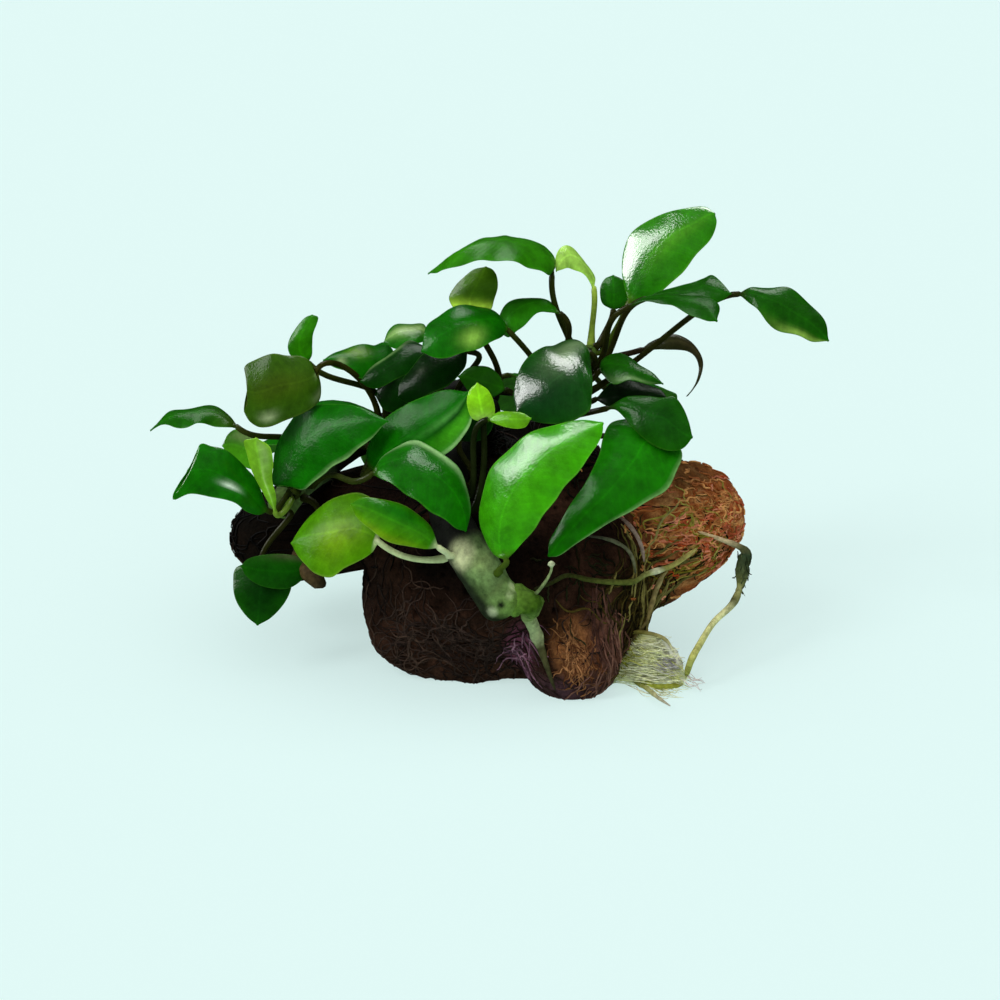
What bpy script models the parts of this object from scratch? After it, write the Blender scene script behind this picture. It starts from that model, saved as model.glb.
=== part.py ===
"""Anubias on stone: a creeping water plant grown over a lump of rough dark lava stone.

Three rhizomes lie on the stone. Leaves stand on them, each one piece with its stalk, and roots
run from them over the stone and down to the ground beside it.
Lengths in the tables are millimetres; X points right, Y to the back, Z up from the ground.
"""

from math import cos, pi, radians, sin

import bmesh
import bpy
import numpy as np

MM = 0.001
ORIGIN = np.array([-2.5, 10.4, 0.0])    # middle of the object's outline, in the tables' own places

# Stone: rounded lobes that melt into one lump, seen from a point inside that sees all of its skin.
STONE_HEART = np.array([4.0, 4.0, 31.0])
STONE_LOBES = (
    # middle, half lengths
    ((8, 4, 27), (33, 25, 26)),        # the main body
    ((-3, -13, 28), (24, 19, 18)),     # belly at the front, where the rhizome hangs over
    ((-12, -3, 16), (22, 20, 20)),     # lump low at the front left
    ((17, -19, 11), (12, 14, 14)),     # foot at the front
    ((43.5, 6, 33.5), (17.5, 15, 16)), # round knob at the right, clear of the ground
    ((-54, 13, 28), (14, 14, 12)),     # knob at the left, clear of the ground
    ((-32, 12, 34), (20, 16, 11)),     # neck to the left knob
    ((0, 22, 36), (31, 17, 20)),       # high back
    ((6, 2, 10), (30, 20, 14)),         # broad sole
    ((-20, -11, 10), (10, 9, 9)),      # heel at the left
    ((21, -10, 18), (14, 14, 18)),     # shoulder behind the foot
    ((36, 2, 22), (9, 12, 8)),         # swelling under the right knob
)
STONE_MELT = 7.0                       # the higher, the sharper the creases between the lobes
STONE_CUTS = 13                        # of each side of the cube that the stone starts as
STONE_LUMP = 1.6                       # height of the lumps and hollows on the skin
STONE_LUMP_WIDTH = 13.0

# Rhizomes: the points that each runs through from its old cut end to its growing tip.
RHIZOMES = {
    # name: (thickness at the old end, at the tip), points
    "rhizome_front": ((9.0, 10.5), ((-2, 16, 58), (-8, 4, 56), (-12, -10, 52), (-12, -22, 47),
                                    (-8, -31, 42), (-3, -36, 35), (3, -38, 28))),
    "rhizome_left": ((8.5, 7.5), ((0, 28, 62), (-12, 27, 60), (-25, 22, 55), (-37, 15, 52),
                                  (-48, 5, 46.5), (-56, -5, 40.5))),
    "rhizome_right": ((8.5, 3.6), ((14, 27, 60), (18, 24, 65), (21, 20, 71), (23, 15, 77))),
}
RHIZOME_RINGS = 14
RHIZOME_GAP = 1.8                      # to the stone's even skin, for the swellings and the stone's facets

# Leaves: blade base, blade tip, the way the upper side faces, rise of the arch, the rhizome that it
# grows from, how far along it (0 at the old end, 1 at the tip), colour.
LEAVES = (
    ("leaf_upright", (32, 14, 89), (53.5, 22, 110), (-0.25, -0.85, 0.45), 1.5, "right", 0.93, "bright"),
    ("leaf_small_dark", (28.5, 20, 85.5), (28.5, 24, 93.5), (-0.2, -0.8, 0.6), 1, "right", 0.97, "deep"),
    ("leaf_right_high", (35.5, 4, 93), (56, -5, 97), (0, -0.6, 0.8), 1.5, "right", 0.68, "deep"),
    ("leaf_right_mid", (31.5, 1, 92), (52, -15, 93), (0, -0.6, 0.8), 2, "right", 0.84, "deep"),
    ("leaf_far_right", (58, -2, 96), (79.5, -10, 86.5), (0.2, -0.8, 0.6), 2, "right", 0.36, "deep"),
    ("leaf_curled", (35.5, 20, 75), (47, 13, 65), (0.1, -0.8, 0.6), 1, "right", 0.75, "bronze"),
    ("leaf_arched_high", (13, 14, 97), (-17.5, 4, 99.5), (0, -0.25, 1), 9, "right", 0.86, "mid"),
    ("leaf_young_high", (23.5, 19, 91.5), (14, 15, 97), (0.1, -0.7, 0.7), 1, "right", 0.95, "lime"),
    ("leaf_arched_low", (15, 10, 87.5), (0, 4, 84.5), (0, -0.5, 0.87), 2, "right", 0.64, "deep"),
    ("leaf_middle_broad", (2, -1, 86.5), (-19, -12, 84.5), (0, -0.6, 0.8), 4, "right", 0.22, "mid"),
    ("leaf_middle_up", (-6.5, 8, 87), (-3.5, 12, 99), (-0.2, -1, 0.2), 1, "left", 0, "olive"),
    ("leaf_small_back", (-18, 16, 79.5), (-29, 12, 79.5), (0, -0.4, 0.9), 1.5, "left", 0.25, "mid"),
    ("leaf_back_left", (-25.5, 18, 73), (-44, 8, 76), (0, -0.5, 0.85), 2, "left", 0.36, "mid"),
    ("leaf_middle_vein", (-17, 8, 78.5), (-34.5, 0, 73), (-0.2, -0.6, 0.8), 2, "left", 0.35, "deep"),
    ("leaf_middle_low", (-8, 4, 79.5), (-25, -6, 71), (-0.2, -0.7, 0.7), 3, "left", 0.2, "deep"),
    ("leaf_left_up", (-47.5, 5, 76.5), (-46.5, 9, 87.5), (0, -1, 0.3), 1, "left", 0.46, "mid"),
    ("leaf_olive", (-45, -4, 77), (-61.5, -8, 74.5), (-0.1, -0.9, 0.5), 2, "left", 0.52, "olive"),
    ("leaf_far_left", (-64.5, -8, 64), (-85, -14, 65), (0, -0.4, 0.9), 2, "left", 0.78, "mid"),
    ("leaf_left_square", (-57, -12, 43.5), (-75.5, -20, 57), (-0.2, -0.8, 0.6), 2, "left", 0.9, "mid"),
    ("leaf_young_left", (-55, -15, 44), (-59, -18, 64.5), (-0.3, -0.9, 0.3), 1, "left", 0.96, "lime"),
    ("leaf_left_big", (-51, -13, 50), (-27, -17, 68.5), (-0.1, -0.75, 0.65), 3, "left", 0.93, "mid"),
    ("leaf_striped", (-32, -14, 55), (-7.5, -16, 75.5), (0, -0.7, 0.7), 3, "left", 0.6, "mid"),
    ("leaf_middle_arched", (-30.5, -30, 59.5), (-8, -37, 47.5), (0.2, -0.6, 0.75), 5, "left", 0.85, "mid"),
    ("leaf_young_centre", (-4, -20, 69), (-5.5, -18, 78.5), (0, -1, 0.3), 1, "front", 0.55, "lime"),
    ("leaf_young_centre_low", (-3, -22, 70.5), (7.5, -24, 71.5), (0, -0.7, 0.7), 1, "front", 0.5, "lime"),
    ("leaf_centre_high", (22, 0, 80.5), (4, -18, 71), (-0.3, -0.7, 0.6), 6, "right", 0.5, "deep"),
    ("leaf_front_big", (1.5, -43, 42.5), (24, -42, 76.5), (-0.3, -0.8, 0.5), 3, "front", 0.84, "bright"),
    ("leaf_front_right", (40, -14, 64.5), (11.5, -34, 40), (-0.2, -0.8, 0.5), 3, "right", 0.02, "mid"),
    ("leaf_front_yellow", (-29.5, -30, 42.5), (-51, -20, 38), (0, -0.8, 0.6), 2, "front", 0.68, "yellow"),
    ("leaf_front_left", (-14.5, -40, 44.5), (-35.5, -36, 54), (0.1, -0.8, 0.6), 2, "front", 0.7, "yellow"),
    ("leaf_left_down", (-59, -12, 30.5), (-60, -18, 15.5), (-0.1, -1, 0.2), 2, "left", 1, "deep"),
    ("leaf_left_low", (-47.5, -14, 29), (-63.5, -20, 32), (0, -0.9, 0.4), 1, "left", 0.9, "deep"),
    ("leaf_right_top", (24.5, 4, 74.5), (40, -5, 74), (0.1, -0.6, 0.8), 2, "right", 0.13, "deep"),
    ("leaf_right_ribbed", (26, -9, 69), (46.5, -19, 65), (0.1, -0.8, 0.6), 2, "right", 0, "deep"),
    ("leaf_dark_centre", (-10, -10, 61), (-5, -6, 73), (-0.1, -0.9, 0.4), 1, "front", 0.4, "deep"),
    ("leaf_dark_middle", (1.5, 9, 68), (-10.5, 9, 71.5), (0, -0.9, 0.45), 1, "left", 0.04, "deep"),
    ("leaf_dark_left", (-57, -3, 52.5), (-68.5, -5, 58), (-0.1, -0.9, 0.4), 1, "left", 0.86, "deep"),
    ("leaf_rear_left", (-48, 21, 52), (-66, 44, 37), (-0.3, 0.5, 0.8), 3, "left", 0.85, "mid"),
    ("leaf_rear_arched", (-36, 28, 56), (-52, 50, 46), (-0.1, 0.6, 0.8), 4, "left", 0.6, "mid"),
    ("leaf_rear_middle", (-20, 37, 63), (-22, 62, 46), (0, 0.6, 0.8), 4, "left", 0.4, "deep"),
    ("leaf_rear_big", (2, 40, 62), (6, 66, 42), (0, 0.6, 0.8), 4, "left", 0.08, "mid"),
    ("leaf_rear_right", (28, 32, 61), (44, 56, 46), (0.2, 0.6, 0.8), 5, "right", 0.4, "mid"),
    ("leaf_dark_right", (24, 9, 65.5), (41.5, 4, 67.5), (0, -0.6, 0.8), 1, "right", 0.2, "deep"),
    ("leaf_rear_high", (-24, 30, 67), (-38, 49, 62), (0, 0.4, 1), 3, "left", 0.25, "mid"),
    ("leaf_rear_hanging", (-26, 38, 50), (-32, 56, 28), (0, 0.7, 0.7), 3, "left", 0.48, "deep"),
    ("leaf_rear_drooping", (10, 46, 50), (18, 58, 27), (0.1, 0.7, 0.7), 3, "right", 0, "mid"),
    ("leaf_dark_back", (-20, 11, 65.5), (-31.5, 13, 65.5), (0, -0.8, 0.6), 1, "left", 0.28, "deep"),
)

# The front leaves' edges, left and right of the way from base to tip, drawn as seen from a point 750 mm
# in front and 20 degrees up: on a grid of 0.25 mm squares, counted from the left and from the top.
OUTLINES = {
    "leaf_upright": (((625, 290), (622, 272), (623, 252), (632, 233), (654, 217), (683, 209), (703, 206)),
                     ((642, 300), (662, 291), (680, 275), (695, 257), (711, 238), (717, 223))),
    "leaf_small_dark": (((602, 303), (600, 289), (605, 279)),
                        ((625, 305), (629, 292), (623, 280))),
    "leaf_right_high": (((665, 289), (690, 284), (703, 278), (712, 274), (722, 283)),
                        ((670, 304), (700, 304), (718, 302))),
    "leaf_right_mid": (((646, 297), (680, 294), (717, 302)),
                       ((642, 302), (660, 303), (681, 310), (704, 321))),
    "leaf_far_right": (((752, 287), (773, 287), (790, 289), (810, 303), (825, 323)),
                       ((746, 300), (756, 309), (767, 322), (782, 332), (800, 337), (813, 341))),
    "leaf_curled": (((650, 342), (662, 337), (676, 335), (690, 340), (699, 351), (703, 364), (700, 379),
                     (693, 390)),
                    ((662, 350), (676, 349), (688, 352), (696, 359), (699, 370), (695, 384))),
    "leaf_arched_high": (((548, 276), (537, 270), (519, 264), (495, 260), (464, 264), (444, 271)),
                         ((552, 260), (541, 251), (519, 241), (495, 236), (465, 247), (443, 263))),
    "leaf_young_high": (((588, 280), (580, 272), (570, 268), (562, 270)),
                        ((594, 276), (584, 260), (574, 249), (565, 246), (558, 251), (555, 262))),
    "leaf_arched_low": (((548, 312), (538, 314), (529, 320), (519, 330), (509, 338)),
                        ((548, 301), (534, 297), (518, 299), (505, 306), (498, 319))),
    "leaf_middle_broad": (((500, 338), (486, 345), (468, 352), (448, 357), (433, 357)),
                          ((500, 317), (488, 308), (470, 305), (451, 308), (438, 316), (426, 328))),
    "leaf_middle_up": (((458, 312), (449, 299), (454, 287), (464, 277), (475, 269)),
                       ((489, 312), (494, 300), (498, 288), (497, 277), (493, 270))),
    "leaf_small_back": (((420, 343), (405, 348), (392, 347)),
                        ((424, 325), (411, 323), (397, 324), (388, 332))),
    "leaf_back_left": (((385, 372), (362, 378), (345, 372), (331, 365)),
                       ((385, 343), (371, 345), (353, 346), (339, 350), (329, 356))),
    "leaf_middle_vein": (((422, 364), (400, 378), (380, 387), (368, 387)),
                         ((412, 340), (398, 348), (380, 360), (368, 371))),
    "leaf_middle_low": (((464, 370), (446, 386), (425, 397), (408, 402)),
                        ((450, 342), (430, 350), (412, 366), (400, 384))),
    "leaf_left_up": (((293, 357), (288, 348), (290, 337), (298, 325), (306, 317)),
                     ((312, 355), (312, 345), (313, 335), (317, 324), (318, 317))),
    "leaf_olive": (((321, 386), (319, 401), (306, 412), (286, 420), (270, 427), (256, 426), (246, 414)),
                   ((311, 362), (300, 356), (285, 355), (272, 354), (256, 359), (244, 368))),
    "leaf_far_left": (((225, 428), (210, 423), (199, 425), (188, 428), (174, 425), (163, 425)),
                      ((230, 415), (213, 408), (195, 406), (177, 410), (163, 418))),
    "leaf_left_square": (((258, 515), (246, 511), (236, 504), (226, 500), (212, 497), (190, 494),
                          (173, 499)),
                         ((256, 480), (246, 467), (236, 458), (224, 449), (212, 446), (199, 445))),
    "leaf_young_left": (((262, 492), (252, 470), (246, 453), (244, 441)),
                        ((276, 495), (272, 478), (273, 460), (270, 446))),
    "leaf_left_big": (((272, 484), (273, 466), (276, 450), (282, 434), (292, 418), (305, 408), (322, 404),
                       (340, 404), (358, 407), (374, 413)),
                      ((306, 489), (322, 475), (344, 460), (363, 446), (379, 430))),
    "leaf_striped": (((366, 452), (374, 432), (388, 415), (404, 406), (424, 396), (446, 390)),
                     ((395, 476), (425, 467), (447, 453), (462, 439), (471, 424), (472, 405))),
    "leaf_middle_arched": (((382, 456), (398, 446), (416, 441), (435, 448), (450, 460), (462, 473),
                            (469, 492), (470, 512)),
                           ((399, 489), (423, 506), (440, 517), (454, 527))),
    "leaf_young_centre": (((472, 418), (467, 404), (469, 391)),
                          ((494, 416), (494, 403), (488, 390))),
    "leaf_young_centre_low": (((498, 412), (511, 412), (523, 413)),
                              ((498, 425), (512, 428), (525, 427))),
    "leaf_centre_high": (((592, 375), (592, 395), (589, 412), (572, 421), (550, 424), (532, 421)),
                         ((578, 341), (562, 342), (543, 348), (528, 356), (519, 372), (513, 394))),
    "leaf_front_big": (((493, 554), (484, 538), (480, 520), (480, 502), (484, 485), (493, 466), (511, 447),
                        (534, 431), (562, 423), (585, 420)),
                       ((523, 543), (540, 521), (558, 496), (577, 473), (593, 452), (602, 433))),
    "leaf_front_right": (((682, 452), (676, 473), (665, 491), (638, 507), (617, 519), (594, 532),
                          (571, 548), (558, 556)),
                         ((640, 420), (613, 421), (603, 438), (599, 454), (587, 480), (573, 500),
                          (562, 519), (550, 539))),
    "leaf_front_yellow": (((372, 552), (356, 562), (346, 568), (332, 577), (316, 574), (307, 566),
                           (297, 555)),
                          ((382, 516), (372, 499), (358, 492), (344, 495), (325, 503), (309, 516),
                           (298, 532))),
    "leaf_front_left": (((425, 549), (405, 546), (385, 540), (368, 528), (356, 516)),
                        ((430, 525), (415, 512), (398, 503), (378, 498), (362, 498))),
    "leaf_left_down": (((288, 568), (292, 584), (285, 602), (272, 617)),
                       ((237, 567), (233, 583), (236, 600), (246, 616))),
    "leaf_left_low": (((300, 582), (284, 589), (262, 586), (247, 577)),
                      ((300, 558), (284, 554), (262, 555), (248, 559))),
    "leaf_right_top": (((602, 360), (617, 354), (631, 357), (641, 366), (654, 374)),
                       ((612, 383), (630, 381), (650, 384))),
    "leaf_right_ribbed": (((625, 398), (645, 395), (662, 398), (674, 397), (683, 407), (689, 422)),
                          ((616, 410), (625, 418), (635, 431), (650, 443), (668, 451), (683, 449))),
    "leaf_dark_left": (((258, 470), (244, 467), (231, 460)),
                       ((264, 448), (252, 434), (238, 429), (228, 434))),
    "leaf_dark_middle": (((490, 398), (472, 395)),
                         ((500, 376), (488, 367), (470, 367))),
    "leaf_dark_back": (((408, 410), (395, 413), (383, 409)),
                       ((410, 378), (396, 373), (382, 380))),
    "leaf_dark_right": (((610, 383), (630, 381), (648, 384), (661, 390)),
                        ((610, 408), (630, 410), (652, 406))),
}
GRID_MIDDLE = 500
GRID_FAR = 3000                        # from the eye to the grid, in squares
EYE = np.array([0.0, -704.8, 298.5])
LOOKS_DOWN = radians(20)

# The other leaves swell evenly to these widths.
WIDTHS = {
    "leaf_dark_centre": 13, "leaf_rear_left": 20, "leaf_rear_arched": 20, "leaf_rear_middle": 21,
    "leaf_rear_big": 22, "leaf_rear_right": 21, "leaf_rear_high": 16, "leaf_rear_hanging": 18,
    "leaf_rear_drooping": 18,
}
EDGE_POINTS = 12                       # of an evenly swelling edge
EDGE_FINE = 120                        # steps that an edge's length is measured in
BLADE_RINGS = (0.0, 0.06, 0.18, 0.36, 0.55, 0.74, 0.9, 1.0)
BLADE_SWELL = (0.6, 0.78)              # powers that round the blade's base and draw out its tip
BLADE_DROOP = radians(13)              # its edges hang below its middle by this
BLADE_THICK = 0.8
TIP_WIDTH = 0.5
STALK_THICK = 1.5
STALK_RING_SPACING = 8.0
SIDE_START = 0.3                       # the lower, the more the stalks start at the rhizome's flanks
STALK_CLIMB = 1.9                      # how readily a stalk that has far to rise leaves upwards
CLIMB_RANGE = (0.1, 2.0)
STALK_STEP = 1.3                       # from the rhizome's even thickness to the foot of a stalk
LEAVING_HANDLE = 0.4                   # of the stalk's reach: how far it keeps the way it starts in
ARRIVING_HANDLE = 0.35                 # the same before the blade, up to the longest
LONGEST_HANDLE = 9.0
RING_ACROSS = np.array([-1, -0.5, 0.5, 1, 0.5, -0.5])
RING_ABOVE = np.array([0, 1, 1, 0, -1, -1])
ROUND_SIX = 0.87                       # makes a ring of six points even all round

# Roots: thickness at the start, at the end, how many of its points cling to the stone (from the start
# on), and the points that each runs through.
ROOTS = {
    "root_front": (3.0, 2.0, 8, ((7, -36, 24), (9, -36, 18), (11, -34, 12), (13, -31, 6))),
    "root_right": (1.5, 1.1, 5, ((16, -28, 33), (24, -26, 30), (31, -20, 28), (38, -15, 28), (44, -12, 30),
                                 (49, -10, 33))),
    "root_right_low": (1.2, 1.0, 8, ((33, -15, 17), (38, -14, 20), (43, -13, 23), (48, -12, 26))),
    "root_hanging": (3.0, 1.2, 0, ((61, -5, 30.5), (60.5, -7, 27), (60, -9, 23), (58, -12, 19),
                                   (53, -16, 15.5), (49.5, -20, 11.5), (47, -24, 8.5), (46, -18.5, 1))),
    "root_ground": (1.4, 1.0, 1, ((28, -16.5, 1.5), (33.5, -19.5, 1.5), (39.5, -24, 1.5),
                                  (45.5, -22, 1.5))),
    "root_tip": (1.2, 0.9, 1, ((32.5, -20, 1.5), (36, -24.5, 1.5), (38.5, -30, 1.5), (41.5, -35.5, 1.5))),
    "root_drop": (1.2, 0.9, 8, ((31, -13, 42), (34.5, -14, 40), (36.5, -15, 35.5), (37, -15.5, 31))),
    "root_side": (1.2, 0.9, 8, ((25.5, -20, 39.5), (29, -19, 38), (32, -18, 35), (32.5, -18, 29.5))),
}
ROOT_POINTS = 8
ROOT_GAP = 1.3                         # to the stone's even skin, whose facets stand higher in its creases

COLOURS = {
    # red, green and blue of the light that each gives back, and its roughness
    "stone": ((0.09, 0.045, 0.03), 0.9),
    "rhizome": ((0.17, 0.25, 0.11), 0.55),
    "root": ((0.45, 0.47, 0.22), 0.6),
    "deep": ((0.012, 0.07, 0.012), 0.25),
    "mid": ((0.02, 0.14, 0.015), 0.25),
    "bright": ((0.04, 0.26, 0.02), 0.22),
    "lime": ((0.2, 0.5, 0.04), 0.3),
    "yellow": ((0.13, 0.27, 0.02), 0.3),
    "olive": ((0.05, 0.09, 0.015), 0.3),
    "bronze": ((0.03, 0.03, 0.012), 0.35),
}


def unit(vectors):
    """Each vector at length 1."""
    vectors = np.asarray(vectors, float)
    return vectors / np.linalg.norm(vectors, axis=-1, keepdims=True)


def material(name):
    """A plain material of one of the colours above."""
    made = bpy.data.materials.get(name) or bpy.data.materials.new(name)
    made.use_nodes = True
    colour, roughness = COLOURS[name]
    shader = made.node_tree.nodes["Principled BSDF"]
    shader.inputs["Base Color"].default_value = (*colour, 1)
    shader.inputs["Roughness"].default_value = roughness
    return made


def place(name, data, colour):
    """A new object of the plant's collection."""
    made = bpy.data.objects.new(name, data)
    data.materials.append(material(colour))
    PLANT.objects.link(made)
    return made


def smooth_path(points, count):
    """`count` points of a smooth curve through the given ones, at even steps between them."""
    points = np.asarray(points, float)
    ends = np.vstack([2 * points[0] - points[1], points, 2 * points[-1] - points[-2]])
    at = np.linspace(0, len(points) - 1, count)
    span = np.minimum(at.astype(int), len(points) - 2)
    t = (at - span)[:, None]
    a, b, c, d = ends[span], ends[span + 1], ends[span + 2], ends[span + 3]
    return 0.5 * (2 * b + (c - a) * t + (2 * a - 5 * b + 4 * c - d) * t**2 + (3 * b - a - 3 * c + d) * t**3)


def lumps(points, width):
    """A smooth rise and fall over the surface, from -1 to 1: waves in slanting directions, multiplied."""
    x, y, z = (points / width).T
    first = np.sin(2.1 * x + 1.3 * y - 0.7 * z + 0.4) * np.sin(1.7 * y + 1.9 * z + 1.2 * x + 2.0)
    second = np.sin(3.3 * z - 2.2 * x + 1.1) * np.sin(3.1 * x + 2.6 * y + 0.3) * np.sin(2.9 * y - 3.2 * z)
    return 0.65 * first + 0.35 * second


def stone_reach(directions):
    """How far the stone's skin is from its heart in each direction, in millimetres."""
    reach = np.linspace(8, 82, 240)
    points = STONE_HEART + directions[:, None, :] * reach[None, :, None]
    inside = np.zeros(points.shape[:2])
    for middle, half in STONE_LOBES:
        inside += np.exp(STONE_MELT * (1 - np.linalg.norm((points - middle) / half, axis=-1)))
    last = len(reach) - 1 - np.argmax((inside > 1)[:, ::-1], axis=1)
    last = np.minimum(last, len(reach) - 2)
    row = np.arange(len(last))
    here, beyond = np.log(inside[row, last]), np.log(inside[row, last + 1])
    found = reach[last] + (reach[1] - reach[0]) * here / (here - beyond)
    skin = STONE_HEART + directions * found[:, None]
    return found + STONE_LUMP * lumps(skin, STONE_LUMP_WIDTH)


def clear_of_stone(points, room, clinging=0):
    """The points, moved out from the stone's heart to leave room to its skin; the first few cling to it."""
    away = np.asarray(points, float) - STONE_HEART
    far = np.linalg.norm(away, axis=1)
    far[:clinging] = 0
    least = stone_reach(unit(away)) + room
    return STONE_HEART + unit(away) * np.maximum(far, least)[:, None]


def make_stone():
    """A cube cut fine, blown up to the stone's skin and sawn flat where it stands."""
    work = bmesh.new()
    bmesh.ops.create_cube(work, size=2)
    bmesh.ops.subdivide_edges(work, edges=work.edges[:], cuts=STONE_CUTS, use_grid_fill=True)
    directions = unit(np.tan(np.array([v.co[:] for v in work.verts]) * pi / 4))
    skin = STONE_HEART + directions * stone_reach(directions)[:, None]
    for vertex, point in zip(work.verts, skin):
        vertex.co = (point - ORIGIN) * MM
    every = work.verts[:] + work.edges[:] + work.faces[:]
    sawn = bmesh.ops.bisect_plane(work, geom=every, plane_co=(0, 0, 0), plane_no=(0, 0, -1), clear_outer=True)
    rim = [part for part in sawn["geom_cut"] if isinstance(part, bmesh.types.BMEdge)]
    bmesh.ops.contextual_create(work, geom=rim)
    bmesh.ops.triangulate(work, faces=[face for face in work.faces if len(face.verts) > 4])
    bmesh.ops.recalc_face_normals(work, faces=work.faces)
    mesh = bpy.data.meshes.new("stone")
    work.to_mesh(mesh)
    work.free()
    mesh.shade_smooth()
    mesh.set_sharp_from_angle(angle=radians(50))
    place("stone", mesh, "stone")


def make_tube(name, path, radii, bevel_resolution, colour):
    """A round rod along the path with its own radius at each point."""
    curve = bpy.data.curves.new(name, "CURVE")
    curve.dimensions = "3D"
    curve.bevel_depth = MM
    curve.bevel_resolution = bevel_resolution
    curve.use_fill_caps = True
    spline = curve.splines.new("POLY")
    spline.points.add(len(path) - 1)
    for point, where, radius in zip(spline.points, path, radii):
        point.co = (*((where - ORIGIN) * MM), 1)
        point.radius = radius
    place(name, curve, colour)


def rhizome_path(name):
    """The middle line of a rhizome and its radius along it, lying on the stone and not in it."""
    (old, young), points = RHIZOMES[name]
    radii = np.linspace(old, young, RHIZOME_RINGS) / 2
    path = smooth_path(points, RHIZOME_RINGS)
    return clear_of_stone(path, radii + RHIZOME_GAP), radii


def make_rhizome(name):
    """A rhizome: a rod with a ring of low swellings where leaves once stood, rounded off at both ends."""
    path, radii = rhizome_path(name)
    swelling = 0.3 * np.cos(np.arange(RHIZOME_RINGS) * pi)
    ends = np.ones(RHIZOME_RINGS)
    ends[0], ends[-1] = 0.8, 0.55
    make_tube(name, path, (radii + swelling) * ends, 3, "rhizome")


def drawn_edge(spots, base, tip, up, arch):
    """An edge in space: where the lines of sight through its spots meet the leaf, a sloping plane that
    its arch lifts and that droops to its edges."""
    spots = np.array(spots, float) - GRID_MIDDLE
    ahead = np.array([0, cos(LOOKS_DOWN), -sin(LOOKS_DOWN)])
    above = np.array([0, sin(LOOKS_DOWN), cos(LOOKS_DOWN)])
    ways = ahead * GRID_FAR + spots[:, :1] * (1, 0, 0) - spots[:, 1:] * above
    run = tip - base
    rise = np.zeros(len(spots))
    for _ in range(4):
        points = EYE + ways * (((base - EYE) @ up + rise) / (ways @ up))[:, None]
        along = np.clip((points - base) @ run / (run @ run), 0, 1)
        out = np.linalg.norm(points - base - along[:, None] * run - rise[:, None] * up, axis=1)
        rise = 4 * along * (1 - along) * arch - out * sin(BLADE_DROOP)
    return np.vstack([base, points, tip])


def swelling_edge(half_width, base, tip, up, arch):
    """An edge of an even blade: its distance from the middle is a product of powers of both ends' shares."""
    p, q = BLADE_SWELL
    peak = (p / (p + q)) ** p * (q / (p + q)) ** q
    along = np.linspace(0, 1, EDGE_POINTS)[:, None]
    out = half_width * along**p * (1 - along) ** q / peak
    side = np.cross(unit(tip - base), up)
    lifted = 4 * along * (1 - along) * arch - np.abs(out) * sin(BLADE_DROOP)
    return base + along * (tip - base) + lifted * up + out * cos(BLADE_DROOP) * side


def at_shares(edge, shares):
    """Points of the smooth edge at shares of its length."""
    fine = smooth_path(edge, EDGE_FINE)
    length = np.concatenate([[0], np.cumsum(np.linalg.norm(np.diff(fine, axis=0), axis=1))])
    return np.stack([np.interp(np.asarray(shares) * length[-1], length, axis) for axis in fine.T], axis=-1)


def blade_frames(name, base, tip, faces, arch, shares):
    """A blade's middle line at shares of its edges, the way it runs, its side, its upper face and half its
    width."""
    base, tip = np.array(base, float), np.array(tip, float)
    run = unit(tip - base)
    up = unit(np.array(faces) - run * np.dot(faces, run))
    if name in OUTLINES:
        edges = [drawn_edge(spots, base, tip, up, arch) for spots in OUTLINES[name]]
    else:
        edges = [swelling_edge(way * WIDTHS[name] / 2, base, tip, up, arch) for way in (-1, 1)]
    left, right = [at_shares(edge, shares) for edge in edges]
    half = np.linalg.norm(right - left, axis=1) / 2
    side = right - left
    side[0], side[-1] = side[1], side[-2]
    side = unit(side)
    middle = (left + right) / 2
    ahead = unit(np.gradient(middle, axis=0) + 1e-3 * run)
    upper = unit(np.cross(side, ahead))
    return middle + (half * sin(BLADE_DROOP))[:, None] * upper, ahead, side, upper, half


def stalk_line(rhizome, along, blade_base, blade_ahead):
    """Middle line of a stalk: it leaves the rhizome square to it, rises, and runs straight into the blade."""
    path, radii = rhizome_path("rhizome_" + rhizome)
    at = along * (RHIZOME_RINGS - 1)
    low = min(int(at), RHIZOME_RINGS - 2)
    axis = path[low] + (at - low) * (path[low + 1] - path[low])
    direction = unit(path[low + 1] - path[low])
    out = (blade_base - axis) * (1, 1, SIDE_START)
    out = unit(out - direction * (out @ direction))
    start = axis + out * (radii[low] + STALK_STEP)
    reach = np.linalg.norm(blade_base - start)
    climb = np.clip(STALK_CLIMB * (blade_base[2] - start[2]) / reach, *CLIMB_RANGE)
    rising = unit(out + climb * np.array([0, 0, 1]))
    leaving = start + rising * reach * LEAVING_HANDLE
    arriving = blade_base - blade_ahead * min(reach * ARRIVING_HANDLE, LONGEST_HANDLE)
    t = np.linspace(0, 1, max(3, round(reach / STALK_RING_SPACING)), endpoint=False)[:, None]
    weights = (1 - t) ** 3, 3 * t * (1 - t) ** 2, 3 * t**2 * (1 - t), t**3
    return sum(weight * handle for weight, handle in zip(weights, (start, leaving, arriving, blade_base)))


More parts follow.
